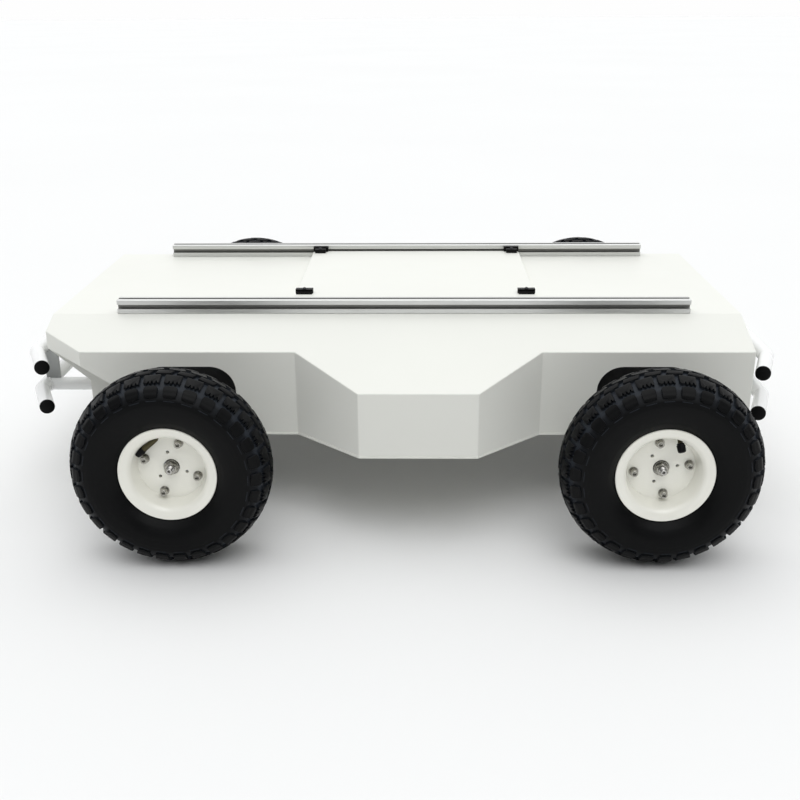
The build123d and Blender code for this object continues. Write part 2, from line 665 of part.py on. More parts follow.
def hexagon_nut(x, z, y0, y1, across_flats, bore):
    section = RegularPolygon(across_flats / 2, 6, major_radius=False)
    if bore:
        section -= Circle(bore)
    prism = extrude(section, amount=abs(y1 - y0))
    return Pos(x, max(y0, y1), z) * Rot(90, 0, 0) * prism


def wheel_bolts(axle_x, side, spin):
    """Four bolts with washers and nuts through hub and rim, and the axle's nut and washer."""
    web = side * (TRACK_HALF + WEB_FACE)
    back = side * (TRACK_HALF + HUB_FACE - HUB_FLANGE)
    pieces = []
    head_seat = web + side * WASHER_THICK
    head_end = head_seat + side * BOLT_HEAD
    for x, z in ring_of(BOLT_COUNT, BOLT_PCD / 2, spin, axle_x, AXLE_Z):
        shank = rod_y(x, z, back - side * BOLT_TAIL, head_seat, BOLT_R)
        head = rod_y(x, z, head_seat, head_end, BOLT_HEAD_R)
        head -= hexagon_nut(x, z, head_end - side * SOCKET_DEEP, head_end, SOCKET_FLATS, 0.0)
        pieces.append(shank + head)
        pieces.append(rod_y(x, z, web, head_seat, WASHER_R, BOLT_R + THREAD_GAP))
        pieces.append(hexagon_nut(x, z, back - side * NUT_HIGH, back, NUT_FLATS, BOLT_R + THREAD_GAP))
    nut_seat = web + side * AXLE_WASHER
    nut_end = nut_seat + side * AXLE_NUT_HIGH
    pieces.append(rod_y(axle_x, AXLE_Z, web, nut_seat, AXLE_WASHER_R, STUD_R + THREAD_GAP))
    pieces.append(hexagon_nut(axle_x, AXLE_Z, nut_seat, nut_end, AXLE_NUT_FLATS, STUD_R + THREAD_GAP))
    return pieces


def motor_plate(axle_x, side):
    """Steel plate on the ends of two portals; the gearbox bolts to its back."""
    outline = RectangleRounded(2 * PLATE_HALF, PLATE_HIGH - PLATE_LOW, PLATE_CORNER_R)
    slab = extrude(outline, amount=PLATE_THICK)
    y0 = PLATE_IN if side > 0 else -PLATE_IN - PLATE_THICK
    slab = Pos(axle_x, y0 + PLATE_THICK, (PLATE_LOW + PLATE_HIGH) / 2) * Rot(90, 0, 0) * slab
    near, far = side * (PLATE_IN - 1), side * (PLATE_IN + PLATE_THICK + 1)
    return slab - rod_y(axle_x, AXLE_Z, near, far, PLATE_BORE_R)


def axle_housing(axle_x, side):
    """Flanged tube on the motor plate with a bearing at each end, which carries the axle."""
    face, end = side * (PLATE_IN + PLATE_THICK), side * HOUSING_END
    step = face + side * HOUSING_FLANGE
    body = rod_y(axle_x, AXLE_Z, face, step, HOUSING_FLANGE_R)
    body += rod_y(axle_x, AXLE_Z, step, end, HOUSING_R)
    body += rod_y(axle_x, AXLE_Z, end - side * HOUSING_BOSS, end, HOUSING_BOSS_R)
    body -= rod_y(axle_x, AXLE_Z, face - side, end + side, SHAFT_R + SHAFT_FIT)
    for x, z in ring_of(4, HOUSING_BOLT_PCR, 45, axle_x, AXLE_Z):
        body += hexagon_nut(x, z, step, step + side * HOUSING_BOLT_HEAD, NUT_FLATS, 0.0)
    return body


def gearbox(axle_x, side):
    """Planetary gearbox with a mounting flange and a socket for the axle."""
    flange, front = side * (PLATE_IN - GEARBOX_FLANGE), side * PLATE_IN
    back = side * (PLATE_IN - GEARBOX_LEN)
    body = rod_y(axle_x, AXLE_Z, flange, front, GEARBOX_FLANGE_R)
    body += rod_y(axle_x, AXLE_Z, back, flange, GEARBOX_R)
    for groove in range(GROOVE_COUNT):
        y = back + side * (GROOVE_FIRST + GROOVE_PITCH * groove)
        body -= rod_y(axle_x, AXLE_Z, y, y + side * GROOVE_WIDE, GEARBOX_R + 1, GEARBOX_R - GROOVE_DEEP)
    socket_end = side * (PLATE_IN - AXLE_SOCKET - 2)
    return body - rod_y(axle_x, AXLE_Z, socket_end, front + side, SHAFT_R + SHAFT_FIT)


def motor(axle_x, side):
    """Brushless motor can with an end bell and a cable gland block."""
    front = side * (PLATE_IN - GEARBOX_LEN)
    back = front - side * MOTOR_LEN
    bell = back - side * BELL_LEN
    body = rod_y(axle_x, AXLE_Z, back, front, MOTOR_R) + rod_y(axle_x, AXLE_Z, bell, back, BELL_R)
    can_top = AXLE_Z + MOTOR_R
    gland = block(axle_x - GLAND_HALF, axle_x + GLAND_HALF, back + side * GLAND_NEAR, back + side * GLAND_FAR,
                  can_top - 4, can_top + GLAND_RISE)
    return body + gland


def battery_pack():
    """Boxed battery on the floor, under the hatch hole, with two carrying ears."""
    length, width, height = BATTERY
    pack = Pos(HATCH_MID, 0, FLOOR_Z + height / 2) * Box(length, width, height)
    pack = fillet(pack.edges().filter_by(Axis.Z), BATTERY_CORNER_R)
    ear_z = FLOOR_Z + height - 16
    for way in (-1, 1):
        x = HATCH_MID + way * (length + BATTERY_EAR[0]) / 2
        pack += Pos(x, 0, ear_z) * Box(*BATTERY_EAR)
    return pack


def motor_controllers():
    """One finned motor controller on the floor of each bulge."""
    boxes = []
    for side in (LEFT, RIGHT):
        y0, y1 = side * (SIDE_Y - 10), side * (BULGE_Y - 22)
        top = FLOOR_Z + CONTROLLER_HIGH
        box = block(BULGE_MID - CONTROLLER_HALF, BULGE_MID + CONTROLLER_HALF, y0, y1, FLOOR_Z, top)
        for fin in range(FIN_COUNT):
            x = BULGE_MID - CONTROLLER_HALF + FIN_THICK + fin * FIN_PITCH
            box += block(x, x + FIN_THICK, y0, y1, top, top + FIN_HIGH)
        boxes.append(box)
    return boxes


def save(node, shape):
    """Write one node, a single solid or a group of separate solids."""
    solids = shape if isinstance(shape, list) else [shape]
    flat = [solid for piece in solids for solid in piece.solids()]
    body = flat[0] if len(flat) == 1 else Compound(children=flat)
    export_step(body, os.path.join("parts", node + ".step"))


def save_wheel(corner, axle_x, side):
    spin, valve_angle = SPIN[corner]
    save(corner + "_tyre", tyre(axle_x, side))
    save(corner + "_inner_tube", inner_tube(axle_x, side, valve_angle))
    save(corner + "_rim_outer", rim_half(axle_x, side, 1, spin, valve_angle))
    save(corner + "_rim_inner", rim_half(axle_x, side, -1, spin, valve_angle))
    save(corner + "_hub", hub(axle_x, side, spin))
    save(corner + "_axle", axle(axle_x, side))
    save(corner + "_wheel_bolts", wheel_bolts(axle_x, side, spin))


def main():
    os.makedirs("parts", exist_ok=True)
    save("top_cover", top_cover())
    save("front_panel", front_panel())
    save("rear_panel", rear_panel())
    save("bottom_plate", bottom_plate())
    save("frame_longitudinals", frame_longitudinals())
    save("frame_portals", frame_portals())
    save("hatch_plate", hatch_plate())
    save("hatch_clips", hatch_clips())
    save("clip_screws", clip_screws())
    save("rail_bolts", rail_bolts())
    save("battery_pack", battery_pack())
    save("motor_controllers", motor_controllers())
    save("bumper_links", bumper_links())
    save("bumper_caps", bumper_caps())
    for end, way in (("front", -1), ("rear", 1)):
        save(end + "_bumper_bars", bumper_bars(way))
        save(end + "_bumper_stays", bumper_stays(way))
    for name, side in SIDES.items():
        save(name + "_side_skin", side_skin(side))
        save(name + "_rail", rail(side))
    corners = [(end, name) for end in AXLES for name in SIDES]
    for end, name in corners:
        corner, axle_x, side = end + "_" + name, AXLES[end], SIDES[name]
        save(corner + "_gearbox", gearbox(axle_x, side))
        save(corner + "_motor", motor(axle_x, side))
        save_wheel(corner, axle_x, side)
    places = [(AXLES[end], SIDES[name]) for end, name in corners]
    save("motor_plates", [motor_plate(x, side) for x, side in places])
    save("axle_housings", [axle_housing(x, side) for x, side in places])


main()
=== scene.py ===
import json
import math
import random

import bmesh
import bpy
from mathutils import Matrix, Vector


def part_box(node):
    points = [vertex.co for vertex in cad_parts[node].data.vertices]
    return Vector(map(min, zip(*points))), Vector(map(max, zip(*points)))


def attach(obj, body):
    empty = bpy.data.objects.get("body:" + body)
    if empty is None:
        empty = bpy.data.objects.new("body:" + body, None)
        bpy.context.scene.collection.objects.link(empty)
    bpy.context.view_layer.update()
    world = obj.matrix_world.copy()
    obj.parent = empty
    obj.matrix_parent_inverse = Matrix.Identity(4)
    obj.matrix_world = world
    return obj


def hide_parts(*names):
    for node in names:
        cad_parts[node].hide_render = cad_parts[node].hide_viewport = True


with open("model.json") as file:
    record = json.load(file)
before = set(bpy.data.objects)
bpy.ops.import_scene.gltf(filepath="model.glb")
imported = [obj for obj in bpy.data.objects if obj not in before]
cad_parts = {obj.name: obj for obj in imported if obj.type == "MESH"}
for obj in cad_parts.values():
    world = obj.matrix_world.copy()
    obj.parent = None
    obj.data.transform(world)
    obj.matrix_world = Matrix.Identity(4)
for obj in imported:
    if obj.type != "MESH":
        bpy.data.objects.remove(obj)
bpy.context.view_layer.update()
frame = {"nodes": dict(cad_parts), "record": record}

# The looks of a four-wheel robot chassis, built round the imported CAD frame. Shapes are worked out
# in millimetres and turned into metres when a piece is made. The nose is at -X, left is -Y.

MM = 0.001
SIDES = {"left": -1, "right": 1}
ENDS = {"front": -1, "rear": 1}
CORNERS = [end + "_" + side for end in ENDS for side in SIDES]

# body shell, as in the CAD source
DECK_Z = 276.0
CREASE_Y = 197.0
SHOULDER_FALL = 0.350
REAR_X = 485.0
FLOOR_Z = 128.5
BOTTOM_THICK = 3.0
FOLD_BEVEL = 1.2
HATCH_X = 23.0
HATCH_HALF = 175.0
CLIP_FOOT_Z = 287.5
# the plan's corners, as (x, distance from the middle plane)
OUTLINE_CORNERS = [(-436.0, 283.0), (-140.5, 283.0), (-51.0, 368.5), (107.0, 368.5), (196.5, 283.0),
                   (485.0, 283.0), (-495.0, 237.0)]

# wheel
TYRE_R = 131.0
SHOULDER_R = 118.5
SHOULDER_OUT = 37.0
SIDEWALL_R = 92.0
TYRE_HALF_W = 44.0
BEAD_R = 65.2
BEAD_OUT = 31.5
WEB_FACE = 4.0
RIM_SHEET = 2.5
RIM_FLANGE_R = 63.5
BOLT_PCR = 35.5
WEB_HOLE_PCR = 20.7
WEB_HOLE_R = 2.25
STUD_R = 5.0
BOLT_R = 2.9
WASHER = 1.3
SPRING_WASHER = 1.8
NUT_FLATS = 10.0
AXLE_NUT_FLATS = 15.0
AXLE_R = 10.0
# first bolt's angle, and the valve: two or three points of its line as (x, z, outboard)
CLOCKING = {
    "front_left": (-19.5, [(-13.5, 46.5, 14.0), (-13.6, 43.2, 15.2), (-41.0, 21.5, 16.5)]),
    "rear_left": (8.0, [(16.7, 45.9, 13.0), (17.6, 41.5, 16.0), (19.8, 29.0, 24.0)]),
    "front_right": (31.0, [(-47.3, 11.8, 13.0), (-43.0, 11.0, 16.0), (-30.0, 9.5, 24.0)]),
    "rear_right": (52.0, [(-5.9, 48.4, 13.0), (-5.5, 44.0, 16.0), (-3.5, 31.0, 24.0)]),
}

# tread: outlines are (across from the middle of the crown, along the rolling direction)
TREAD_DEPTH = 4.0
PITCHES = 30
TREAD_FLAT = 38.0
TREAD_FADE = 17.0
MIDDLE_RIB = [(1.2, -11.5), (10.0, -8.5), (11.0, 3.0), (9.4, 11.5), (1.2, 9.0)]
OUTER_BLOCK = [(13.6, 10.0), (13.0, -10.0), (15.0, -11.0),
               (30.0, -10.4), (29.6, -8.8), (26.4, -7.9), (26.4, -6.3),
               (30.2, -5.2), (30.4, -3.2), (26.6, -2.2), (26.6, -0.6),
               (30.6, 0.4), (30.4, 2.6), (26.6, 3.4), (26.6, 5.0),
               (30.2, 6.0), (29.6, 9.4), (28.0, 10.8), (15.5, 11.0)]
SHOULDER_LUG = [(34.4, -5.0), (35.4, -8.4), (38.0, -9.8), (46.0, -9.8), (51.0, -9.2), (51.6, 0.0),
                (51.0, 9.2), (46.0, 9.8), (38.0, 9.8), (35.4, 8.4), (34.4, 5.0)]
LUG_TICK = [(54.4, -8.4), (55.3, -8.4), (55.3, 8.4), (54.4, 8.4)]
INNER_TICK = [(61.0, -6.4), (61.7, -6.4), (61.7, 6.4), (61.0, 6.4)]
# moulded rings on the sidewall: (across, height)
WALL_RINGS = [(61.5, 0.55), (66.0, 0.35), (88.0, 0.5)]

# bumpers: by end, the bars' reach and how far their tips bend back
BAR_X = {-1: 531.0, 1: 525.0}
BAR_BACKSET = {-1: 32.0, 1: 27.0}
BAR_STRAIGHT = 182.0
BAR_END_Y = 258.0
REAR_BAR_EXTRA = 23.0
BAR_R = 10.5
UPPER_BAR_Z = 215.5
LOWER_BAR_Z = 157.5
STAY_Y = 158.0
STAY_R = 9.5
LOWER_FRONT_X = -439.0

# studio
SKY = 1.24
SKY_LEVELS = ((0.045, 0.66), (0.07, 0.06), (0.35, 0.13), (0.7, 0.60))
FLOOR_REACH = 60.0
CAMERA_PLACE = (0.0293, -1.6762, 0.6846)
CAMERA_PITCH = 21.99
CAMERA_YAW = -1.107
CAMERA_ROLL = 0.317
CAMERA_LENS = 48.21
CAMERA_SHIFT = 0.046


# ---------------------------------------------------------------- materials

class Finish:
    """A node material being put together on one Principled shader."""

    def __init__(self, name, stretch=(1, 1, 1), **sockets):
        self.material = bpy.data.materials.new(name)
        self.material.use_nodes = True
        self.tree = self.material.node_tree
        self.shader = self.tree.nodes["Principled BSDF"]
        for key, value in sockets.items():
            self.shader.inputs[key.replace("_", " ")].default_value = value
        place = self.add("ShaderNodeTexCoord")
        mapping = self.add("ShaderNodeMapping", {"Scale": stretch})
        self.link(place.outputs["Object"], mapping.inputs["Vector"])
        self.where = mapping.outputs["Vector"]
        self.height = None

    def add(self, kind, values=None):
        node = self.tree.nodes.new(kind)
        for key, value in (values or {}).items():
            node.inputs[key].default_value = value
        return node

    def link(self, source, target):
        self.tree.links.new(source, target)

    def noise(self, scale, detail=3.0, rough=0.5):
        node = self.add("ShaderNodeTexNoise", {"Scale": scale, "Detail": detail, "Roughness": rough})
        self.link(self.where, node.inputs["Vector"])
        return node.outputs["Fac"]

    def ramp(self, source, stops):
        """Colour by a number: stops are (place, colour)."""
        node = self.add("ShaderNodeValToRGB")
        marks = node.color_ramp.elements
        while len(marks) < len(stops):
            marks.new(0.5)
        for mark, (place, colour) in zip(marks, stops):
            mark.position = place
            mark.color = (*colour, 1.0)
        self.link(source, node.inputs["Fac"])
        return node.outputs["Color"]

    def span(self, source, low, high, to_low, to_high):
        node = self.add("ShaderNodeMapRange",
                        {"From Min": low, "From Max": high, "To Min": to_low, "To Max": to_high})
        self.link(source, node.inputs["Value"])
        return node.outputs["Result"]

    def mix(self, amount, first, second):
        node = self.add("ShaderNodeMix")
        node.data_type = "RGBA"
        if isinstance(amount, float):
            node.inputs["Factor"].default_value = amount
        else:
            self.link(amount, node.inputs["Factor"])
        self.link(first, node.inputs[6])
        self.link(second, node.inputs[7])
        return node.outputs[2]

    def math(self, operation, first, second):
        node = self.add("ShaderNodeMath")
        node.operation = operation
        for socket, value in zip(node.inputs, (first, second)):
            if isinstance(value, (int, float)):
                socket.default_value = value
            else:
                self.link(value, socket)
        return node.outputs["Value"]

    def colour(self, source):
        self.link(source, self.shader.inputs["Base Color"])

    def roughness(self, source):
        self.link(source, self.shader.inputs["Roughness"])

    def bump(self, source, depth_mm, strength=1.0):
        """Adds a layer of relief, depth_mm deep between a black and a white value."""
        node = self.add("ShaderNodeBump", {"Strength": strength, "Distance": depth_mm * MM})
        self.link(source, node.inputs["Height"])
        if self.height is not None:
            self.link(self.height, node.inputs["Normal"])
        self.height = node.outputs["Normal"]
        self.link(self.height, self.shader.inputs["Normal"])

    def attribute(self, name):
        node = self.add("ShaderNodeAttribute")
        node.attribute_name = name
        return node.outputs["Fac"]


def tone(colour, factor):
    return tuple(min(1.0, channel * factor) for channel in colour)


def painted(name, colour, rough, orange_peel_mm=0.02, spread=0.02, coat=0.0):
    """Powder coat or enamel: an orange-peel surface, faint tone drift and a haze of handling."""
    made = Finish(name, Roughness=rough, Coat_Weight=coat, Coat_Roughness=0.12)
    drift = made.noise(3.0, 4.0)
    made.colour(made.ramp(drift, [(0.3, tone(colour, 1 - spread)), (0.7, tone(colour, 1 + spread / 2))]))
    haze = made.noise(14.0, 6.0, 0.65)
    made.roughness(made.span(haze, 0.3, 0.7, rough - 0.05, rough + 0.06))
    made.bump(made.noise(520.0, 2.0), orange_peel_mm)
    made.bump(made.noise(9.0, 2.0), 0.05, 0.35)
    return made.material


def rubber(name, colour, dust_and_glint, rough):
    """Tyre rubber with a fine grain and mould bloom; a per-point weight mixes in a pale bluish colour: dust
    where the relief is low, and a painted glint on the sidewall ticks.
    """
    made = Finish(name, Roughness=rough, Specular_IOR_Level=0.12)
    grain = made.noise(900.0, 4.0, 0.6)
    patch = made.noise(26.0, 5.0, 0.6)
    base = made.ramp(patch, [(0.3, tone(colour, 0.75)), (0.72, tone(colour, 1.35))])
    low = made.attribute("dust_and_glint")
    amount = made.math("MULTIPLY", low, made.span(patch, 0.25, 0.75, 0.55, 1.0))
    pale = made.ramp(grain, [(0.3, tone(dust_and_glint, 0.7)), (0.7, dust_and_glint)])
    made.colour(made.mix(amount, base, pale))
    made.roughness(made.span(patch, 0.3, 0.7, rough - 0.07, rough + 0.1))
    made.bump(grain, 0.08)
    made.bump(made.noise(140.0, 3.0), 0.12, 0.5)
    return made.material


def metal(name, colour, rough, stretch=(1, 1, 1), grain=600.0, groove_mm=0.02, dull=0.8, anisotropy=0.0):
    """Bare or plated metal with drawing or turning marks along the axis that stretch leaves long."""
    made = Finish(name, stretch, Metallic=1.0, Roughness=rough, Anisotropic=anisotropy)
    lines = made.noise(grain, 3.0, 0.6)
    stain = made.noise(22.0, 5.0, 0.6)
    streak = made.ramp(lines, [(0.25, tone(colour, dull)), (0.75, colour)])
    cloud = made.ramp(stain, [(0.3, tone(colour, dull)), (0.65, tone(colour, 1.05))])
    made.colour(made.mix(0.5, streak, cloud))
    made.roughness(made.span(lines, 0.3, 0.7, rough - 0.06, rough + 0.1))
    made.bump(lines, groove_mm)
    return made.material


def plastic(name, colour, rough, grain_mm=0.05):
    """Moulded plastic: spark-eroded texture and slightly paler rubbed places."""
    made = Finish(name, Roughness=rough, Specular_IOR_Level=0.15)
    patch = made.noise(60.0, 4.0)
    made.colour(made.ramp(patch, [(0.3, tone(colour, 0.8)), (0.75, tone(colour, 1.5))]))
    made.roughness(made.span(made.noise(240.0, 3.0), 0.3, 0.7, rough - 0.06, rough + 0.08))
    made.bump(made.noise(1100.0, 2.0), grain_mm)
    return made.material


ALONG_X = (0.02, 1, 1)
FINISHES = {
    "body_paint": painted("shell_powder_coat", (0.79, 0.793, 0.742), 0.42),
    "bumper_paint": painted("bumper_gloss_coat", (0.84, 0.845, 0.84), 0.22, 0.012, 0.015, 0.4),
    "link_steel": painted("link_grey_primer", (0.33, 0.34, 0.335), 0.4, 0.02, 0.15),
    "rim_paint": painted("rim_enamel", (0.94, 0.93, 0.85), 0.22, 0.015, 0.02, 0.3),
    # The pale bluish second colour is dust in the grooves and a painted glint on the tops of the sidewall
    # ticks.
    "tyre": rubber("tyre_rubber", (0.0020, 0.0022, 0.0025), (0.034, 0.040, 0.050), 0.42),
    "inner_tube": rubber("tube_rubber", (0.016, 0.016, 0.016), (0.05, 0.05, 0.05), 0.5),
    "hub_alloy": metal("hub_turned_alloy", (0.70, 0.71, 0.72), 0.34),
    "shaft_steel": metal("shaft_ground_steel", (0.50, 0.49, 0.47), 0.22, (1, 0.1, 1)),
    "zinc_bolts": metal("bolt_zinc_plate", (0.42, 0.41, 0.37), 0.2, grain=900.0, dull=0.7),
    "black_screws": metal("screw_black_oxide", (0.07, 0.07, 0.075), 0.36, grain=900.0),
    "gearbox_steel": metal("gearbox_turned_steel", (0.47, 0.48, 0.49), 0.33, (1, 8, 1), 90.0),
    "motor_paint": painted("motor_can_paint", (0.035, 0.036, 0.04), 0.38, 0.03, 0.2),
    "black_paint": painted("frame_black_coat", (0.022, 0.022, 0.024), 0.45, 0.03, 0.2),
    "housing_paint": painted("housing_grey_coat", (0.05, 0.051, 0.056), 0.45, 0.03, 0.2),
    "rail_aluminium": metal("rail_clear_anodised", (0.70, 0.705, 0.69), 0.36, ALONG_X, 700.0, 0.01, 0.93, 0.3),
    "black_plastic": plastic("cap_moulded_plastic", (0.0016, 0.0016, 0.0018), 0.42),
    "battery_case": plastic("battery_moulded_case", (0.05, 0.058, 0.072), 0.5),
    "controller_case": metal("controller_black_anodised", (0.06, 0.06, 0.065), 0.45, ALONG_X, 500.0),
}
VALVE_BRASS = metal("valve_dull_brass", (0.10, 0.088, 0.05), 0.42, dull=0.6)
# Painted shade: a darker, duller copy of the rail finish for the faces deep in the slots and bore, where shade
# falls.
RAIL_SLOT_SHADE = metal("rail_slot_painted_shade", (0.30, 0.30, 0.285), 0.5, ALONG_X, 700.0, 0.01, 0.8)


# ---------------------------------------------------------------- making pieces

class Shape:
    """Points and faces gathered in millimetres before they become a piece."""

    def __init__(self):
        self.points = []
        self.faces = []
        self.dust_and_glint = []

    def add(self, points, faces, dust_and_glint=0.0):
        start = len(self.points)
        self.points += [tuple(point) for point in points]
        self.dust_and_glint += dust_and_glint if isinstance(dust_and_glint, list) else [dust_and_glint] * len(points)
        self.faces += [[start + i for i in face] for face in faces]

    def skin(self, rings, wrap=False, cap=True, dust_and_glint=0.0):
        """Joins rings of equal length; wrap closes the last onto the first, cap fills both ends."""
        count = len(rings[0])
        faces = []
        last = len(rings) if wrap else len(rings) - 1
        for i in range(last):
            a, b = i * count, (i + 1) % len(rings) * count
            faces += [[a + j, a + (j + 1) % count, b + (j + 1) % count, b + j] for j in range(count)]
        if cap and not wrap:
            faces.append(list(range(count)))
            faces.append([(len(rings) - 1) * count + j for j in range(count)])
        self.add([point for ring in rings for point in ring], faces, dust_and_glint)

    def mesh(self, name):
        mesh = bpy.data.meshes.new(name)
        mesh.from_pydata([Vector(point) * MM for point in self.points], [], self.faces)
        if any(self.dust_and_glint):
            layer = mesh.attributes.new("dust_and_glint", "FLOAT", "POINT")
            layer.data.foreach_set("value", self.dust_and_glint)
        tidy = bmesh.new()
        tidy.from_mesh(mesh)
        bmesh.ops.recalc_face_normals(tidy, faces=tidy.faces)
        tidy.to_mesh(mesh)
        tidy.free()
        return mesh


def show(name, mesh, body, slot, nodes=(), material=None, smooth=35.0, weighted=True):
    """Makes a mesh a visible piece of the object, which stands for some CAD nodes."""
    mesh.materials.clear()
    mesh.materials.append(material or FINISHES[slot])
    mesh.shade_smooth()
    mesh.set_sharp_from_angle(angle=math.radians(smooth))
    piece = bpy.data.objects.new(name, mesh)
    bpy.context.scene.collection.objects.link(piece)
    if weighted:
        shading = piece.modifiers.new("flat_faces", "WEIGHTED_NORMAL")
        shading.keep_sharp = True
    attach(piece, body)
    if nodes:
        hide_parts(*nodes)
    return piece


def body_of_node(node):
    for body, held in frame["record"]["behaviour"]["bodies"].items():
        if node in held:
            return body
    return "chassis"


def slot_of_node(node):
    for part in frame["record"]["subparts"]:
        if part["node"] == node:
            return part["material_slot"]
    return None


def refined(node, wanted, width=FOLD_BEVEL, segments=3, sharp=15.0, smooth=35.0):
    """A copy of a CAD node with the wanted edges rounded by a bevel, shown in its place."""
    mesh = frame["nodes"][node].data.copy()
    mesh.name = node + "_finished"
    work = bmesh.new()
    work.from_mesh(mesh)
    bmesh.ops.remove_doubles(work, verts=work.verts, dist=0.01 * MM)
    bmesh.ops.dissolve_limit(work, angle_limit=math.radians(0.5), verts=work.verts, edges=work.edges)
    chosen = []
    for edge in work.edges:
        if edge.is_manifold and math.degrees(edge.calc_face_angle(0.0)) > sharp:
            ends = [vert.co / MM for vert in edge.verts]
            if wanted(*ends):
                chosen.append(edge)
    bmesh.ops.bevel(work, geom=chosen, offset=width * MM, offset_type="OFFSET", segments=segments,
                    profile=0.5, affect="EDGES", clamp_overlap=True)
    work.to_mesh(mesh)
    work.free()
    return show(node + "_finished", mesh, body_of_node(node), slot_of_node(node), [node], smooth=smooth)


def every_edge(a, b):
    return True


def no_edge(a, b):
    return False


def circle(count, radius, start=0.0):
    turn = 2 * math.pi / count
    return [(radius * math.cos(start + turn * i), radius * math.sin(start + turn * i)) for i in range(count)]


def frame_along(direction):
    """Two unit vectors square to a direction and to each other."""
    forward = Vector(direction).normalized()
    helper = Vector((0, 0, 1)) if abs(forward.z) < 0.9 else Vector((1, 0, 0))
    across = forward.cross(helper).normalized()
    return across, forward.cross(across)


def turned(shape, origin, direction, profile, count=32, outline=None):
    """A turned part on an axis: profile lists (distance along, radius), with closed ends."""
    origin, forward = Vector(origin), Vector(direction).normalized()
    across, up = frame_along(forward)
    rings = []
    for along, radius in profile:
        ring = []
        for i in range(count):
            angle = 2 * math.pi * i / count
            reach = radius * (outline(angle, along) if outline else 1.0)
            ring.append(origin + forward * along + (across * math.cos(angle) + up * math.sin(angle)) * reach)
        rings.append(ring)
    shape.skin(rings)


def tube_ring(shape, origin, direction, outer, inner, low, high, edge=0.2, count=40):
    """A washer or ring with eased edges, between two distances along an axis."""
    origin, forward = Vector(origin), Vector(direction).normalized()
    across, up = frame_along(forward)
    section = [(inner, low), (outer - edge, low), (outer, low + edge), (outer, high - edge),
               (outer - edge, high), (inner, high)]
    rings = []
    for radius, along in section:
        rings.append([origin + forward * along + (across * x + up * y) * radius for x, y in circle(count, 1.0)])
    shape.skin(rings, wrap=True)


def thread(along, length, radius, pitch=1.0, depth=0.5):
    """Profile of a threaded end with a chamfer, as rings of crests and roots."""
    profile = []
    steps = int(length / pitch)
    for i in range(steps):
        start = along + i * pitch
        profile += [(start, radius - depth), (start + pitch * 0.35, radius), (start + pitch * 0.65, radius)]
    tip = along + steps * pitch
    profile += [(tip, radius - depth), (tip + 0.01, radius - depth * 1.3)]
    return profile


def hexagon(angle, along=0.0):
    """How far a hexagon's side lies at an angle, for a unit apothem."""
    third = (angle + math.pi / 6) % (math.pi / 3) - math.pi / 6
    return 1.0 / math.cos(third)


def nut(shape, origin, direction, flats, low, high, count=48):
    """A hexagon nut or head with chamfered corners at both ends."""
    apothem = flats / 2
    face_r = apothem * 0.96
    origin, forward = Vector(origin), Vector(direction).normalized()
    across, up = frame_along(forward)

    def ring(kind, along):
        points = []
        for i in range(count):
            angle = 2 * math.pi * i / count
            side = apothem * hexagon(angle)
            if kind == "flat":
                radius, shift = face_r, 0.0
            else:
                radius, shift = side, (side - face_r) * math.tan(math.radians(30))
            level = along + shift if along == low else along - shift
            spoke = across * math.cos(angle) + up * math.sin(angle)
            points.append(origin + forward * level + spoke * radius)
        return points

    shape.skin([ring("flat", low), ring("side", low), ring("side", high), ring("flat", high)])


# ---------------------------------------------------------------- body shell

def roof_z(y):
    return DECK_Z - SHOULDER_FALL * max(0.0, abs(y) - CREASE_Y)


def shell():
    def cover_edge(a, b):
        top = abs(a.z - roof_z(a.y)) < 0.1 and abs(b.z - roof_z(b.y)) < 0.1
        upright = abs(a.x - b.x) < 0.1 and abs(a.y - b.y) < 0.1 and abs(a.y) > CREASE_Y + 20
        inside = abs(a.y) < 192 and abs(b.y) < 192
        return (top or upright) and not inside

    def skin_fold(a, b):
        upright = abs(a.x - b.x) < 0.1 and abs(a.y - b.y) < 0.1 and abs(a.z - b.z) > 20
        return upright and is_outline_corner(a)

    def panel_fold(a, b):
        return abs(a.y - b.y) > 100 and abs(a.x - b.x) < 0.1

    def hatch_rim(a, b):
        return a.z > DECK_Z + 5 and max(abs(a.x - HATCH_X), abs(a.y)) > HATCH_HALF - 0.5

    refined("top_cover", cover_edge, sharp=12.0)
    for side in SIDES:
        refined(side + "_side_skin", skin_fold)
    refined("front_panel", panel_fold)
    refined("rear_panel", no_edge)
    refined("bottom_plate", every_edge, width=0.35, segments=2)
    refined("hatch_plate", hatch_rim, width=1.4)


def is_outline_corner(point):
    return any(math.hypot(point.x - x, abs(point.y) - y) < 0.3 for x, y in OUTLINE_CORNERS)


# ---------------------------------------------------------------- wheels

class Wheel:
    """One wheel's place, with points given as (x, z, outboard) from the middle of its tyre."""

    def __init__(self, corner):
        low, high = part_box(corner + "_tyre")
        self.corner = corner
        self.body = corner + "_wheel"
        self.middle = (low + high) / 2 / MM
        self.side = 1 if self.middle.y > 0 else -1
        self.out = Vector((0, self.side, 0))
        self.first_bolt, self.valve = CLOCKING[corner]

    def at(self, x, z, out):
        return self.middle + Vector((x, self.side * out, z))

    def polar(self, angle, radius, out):
        return self.at(radius * math.cos(angle), radius * math.sin(angle), out)

    def lathe(self, shape, section, count=120, dust_and_glint=0.0):
        """Turns a closed section of (radius, outboard) points round the axle."""
        rings = [[self.polar(2 * math.pi * i / count, r, out) for r, out in section] for i in range(count)]
        shape.skin(rings, wrap=True, dust_and_glint=dust_and_glint)


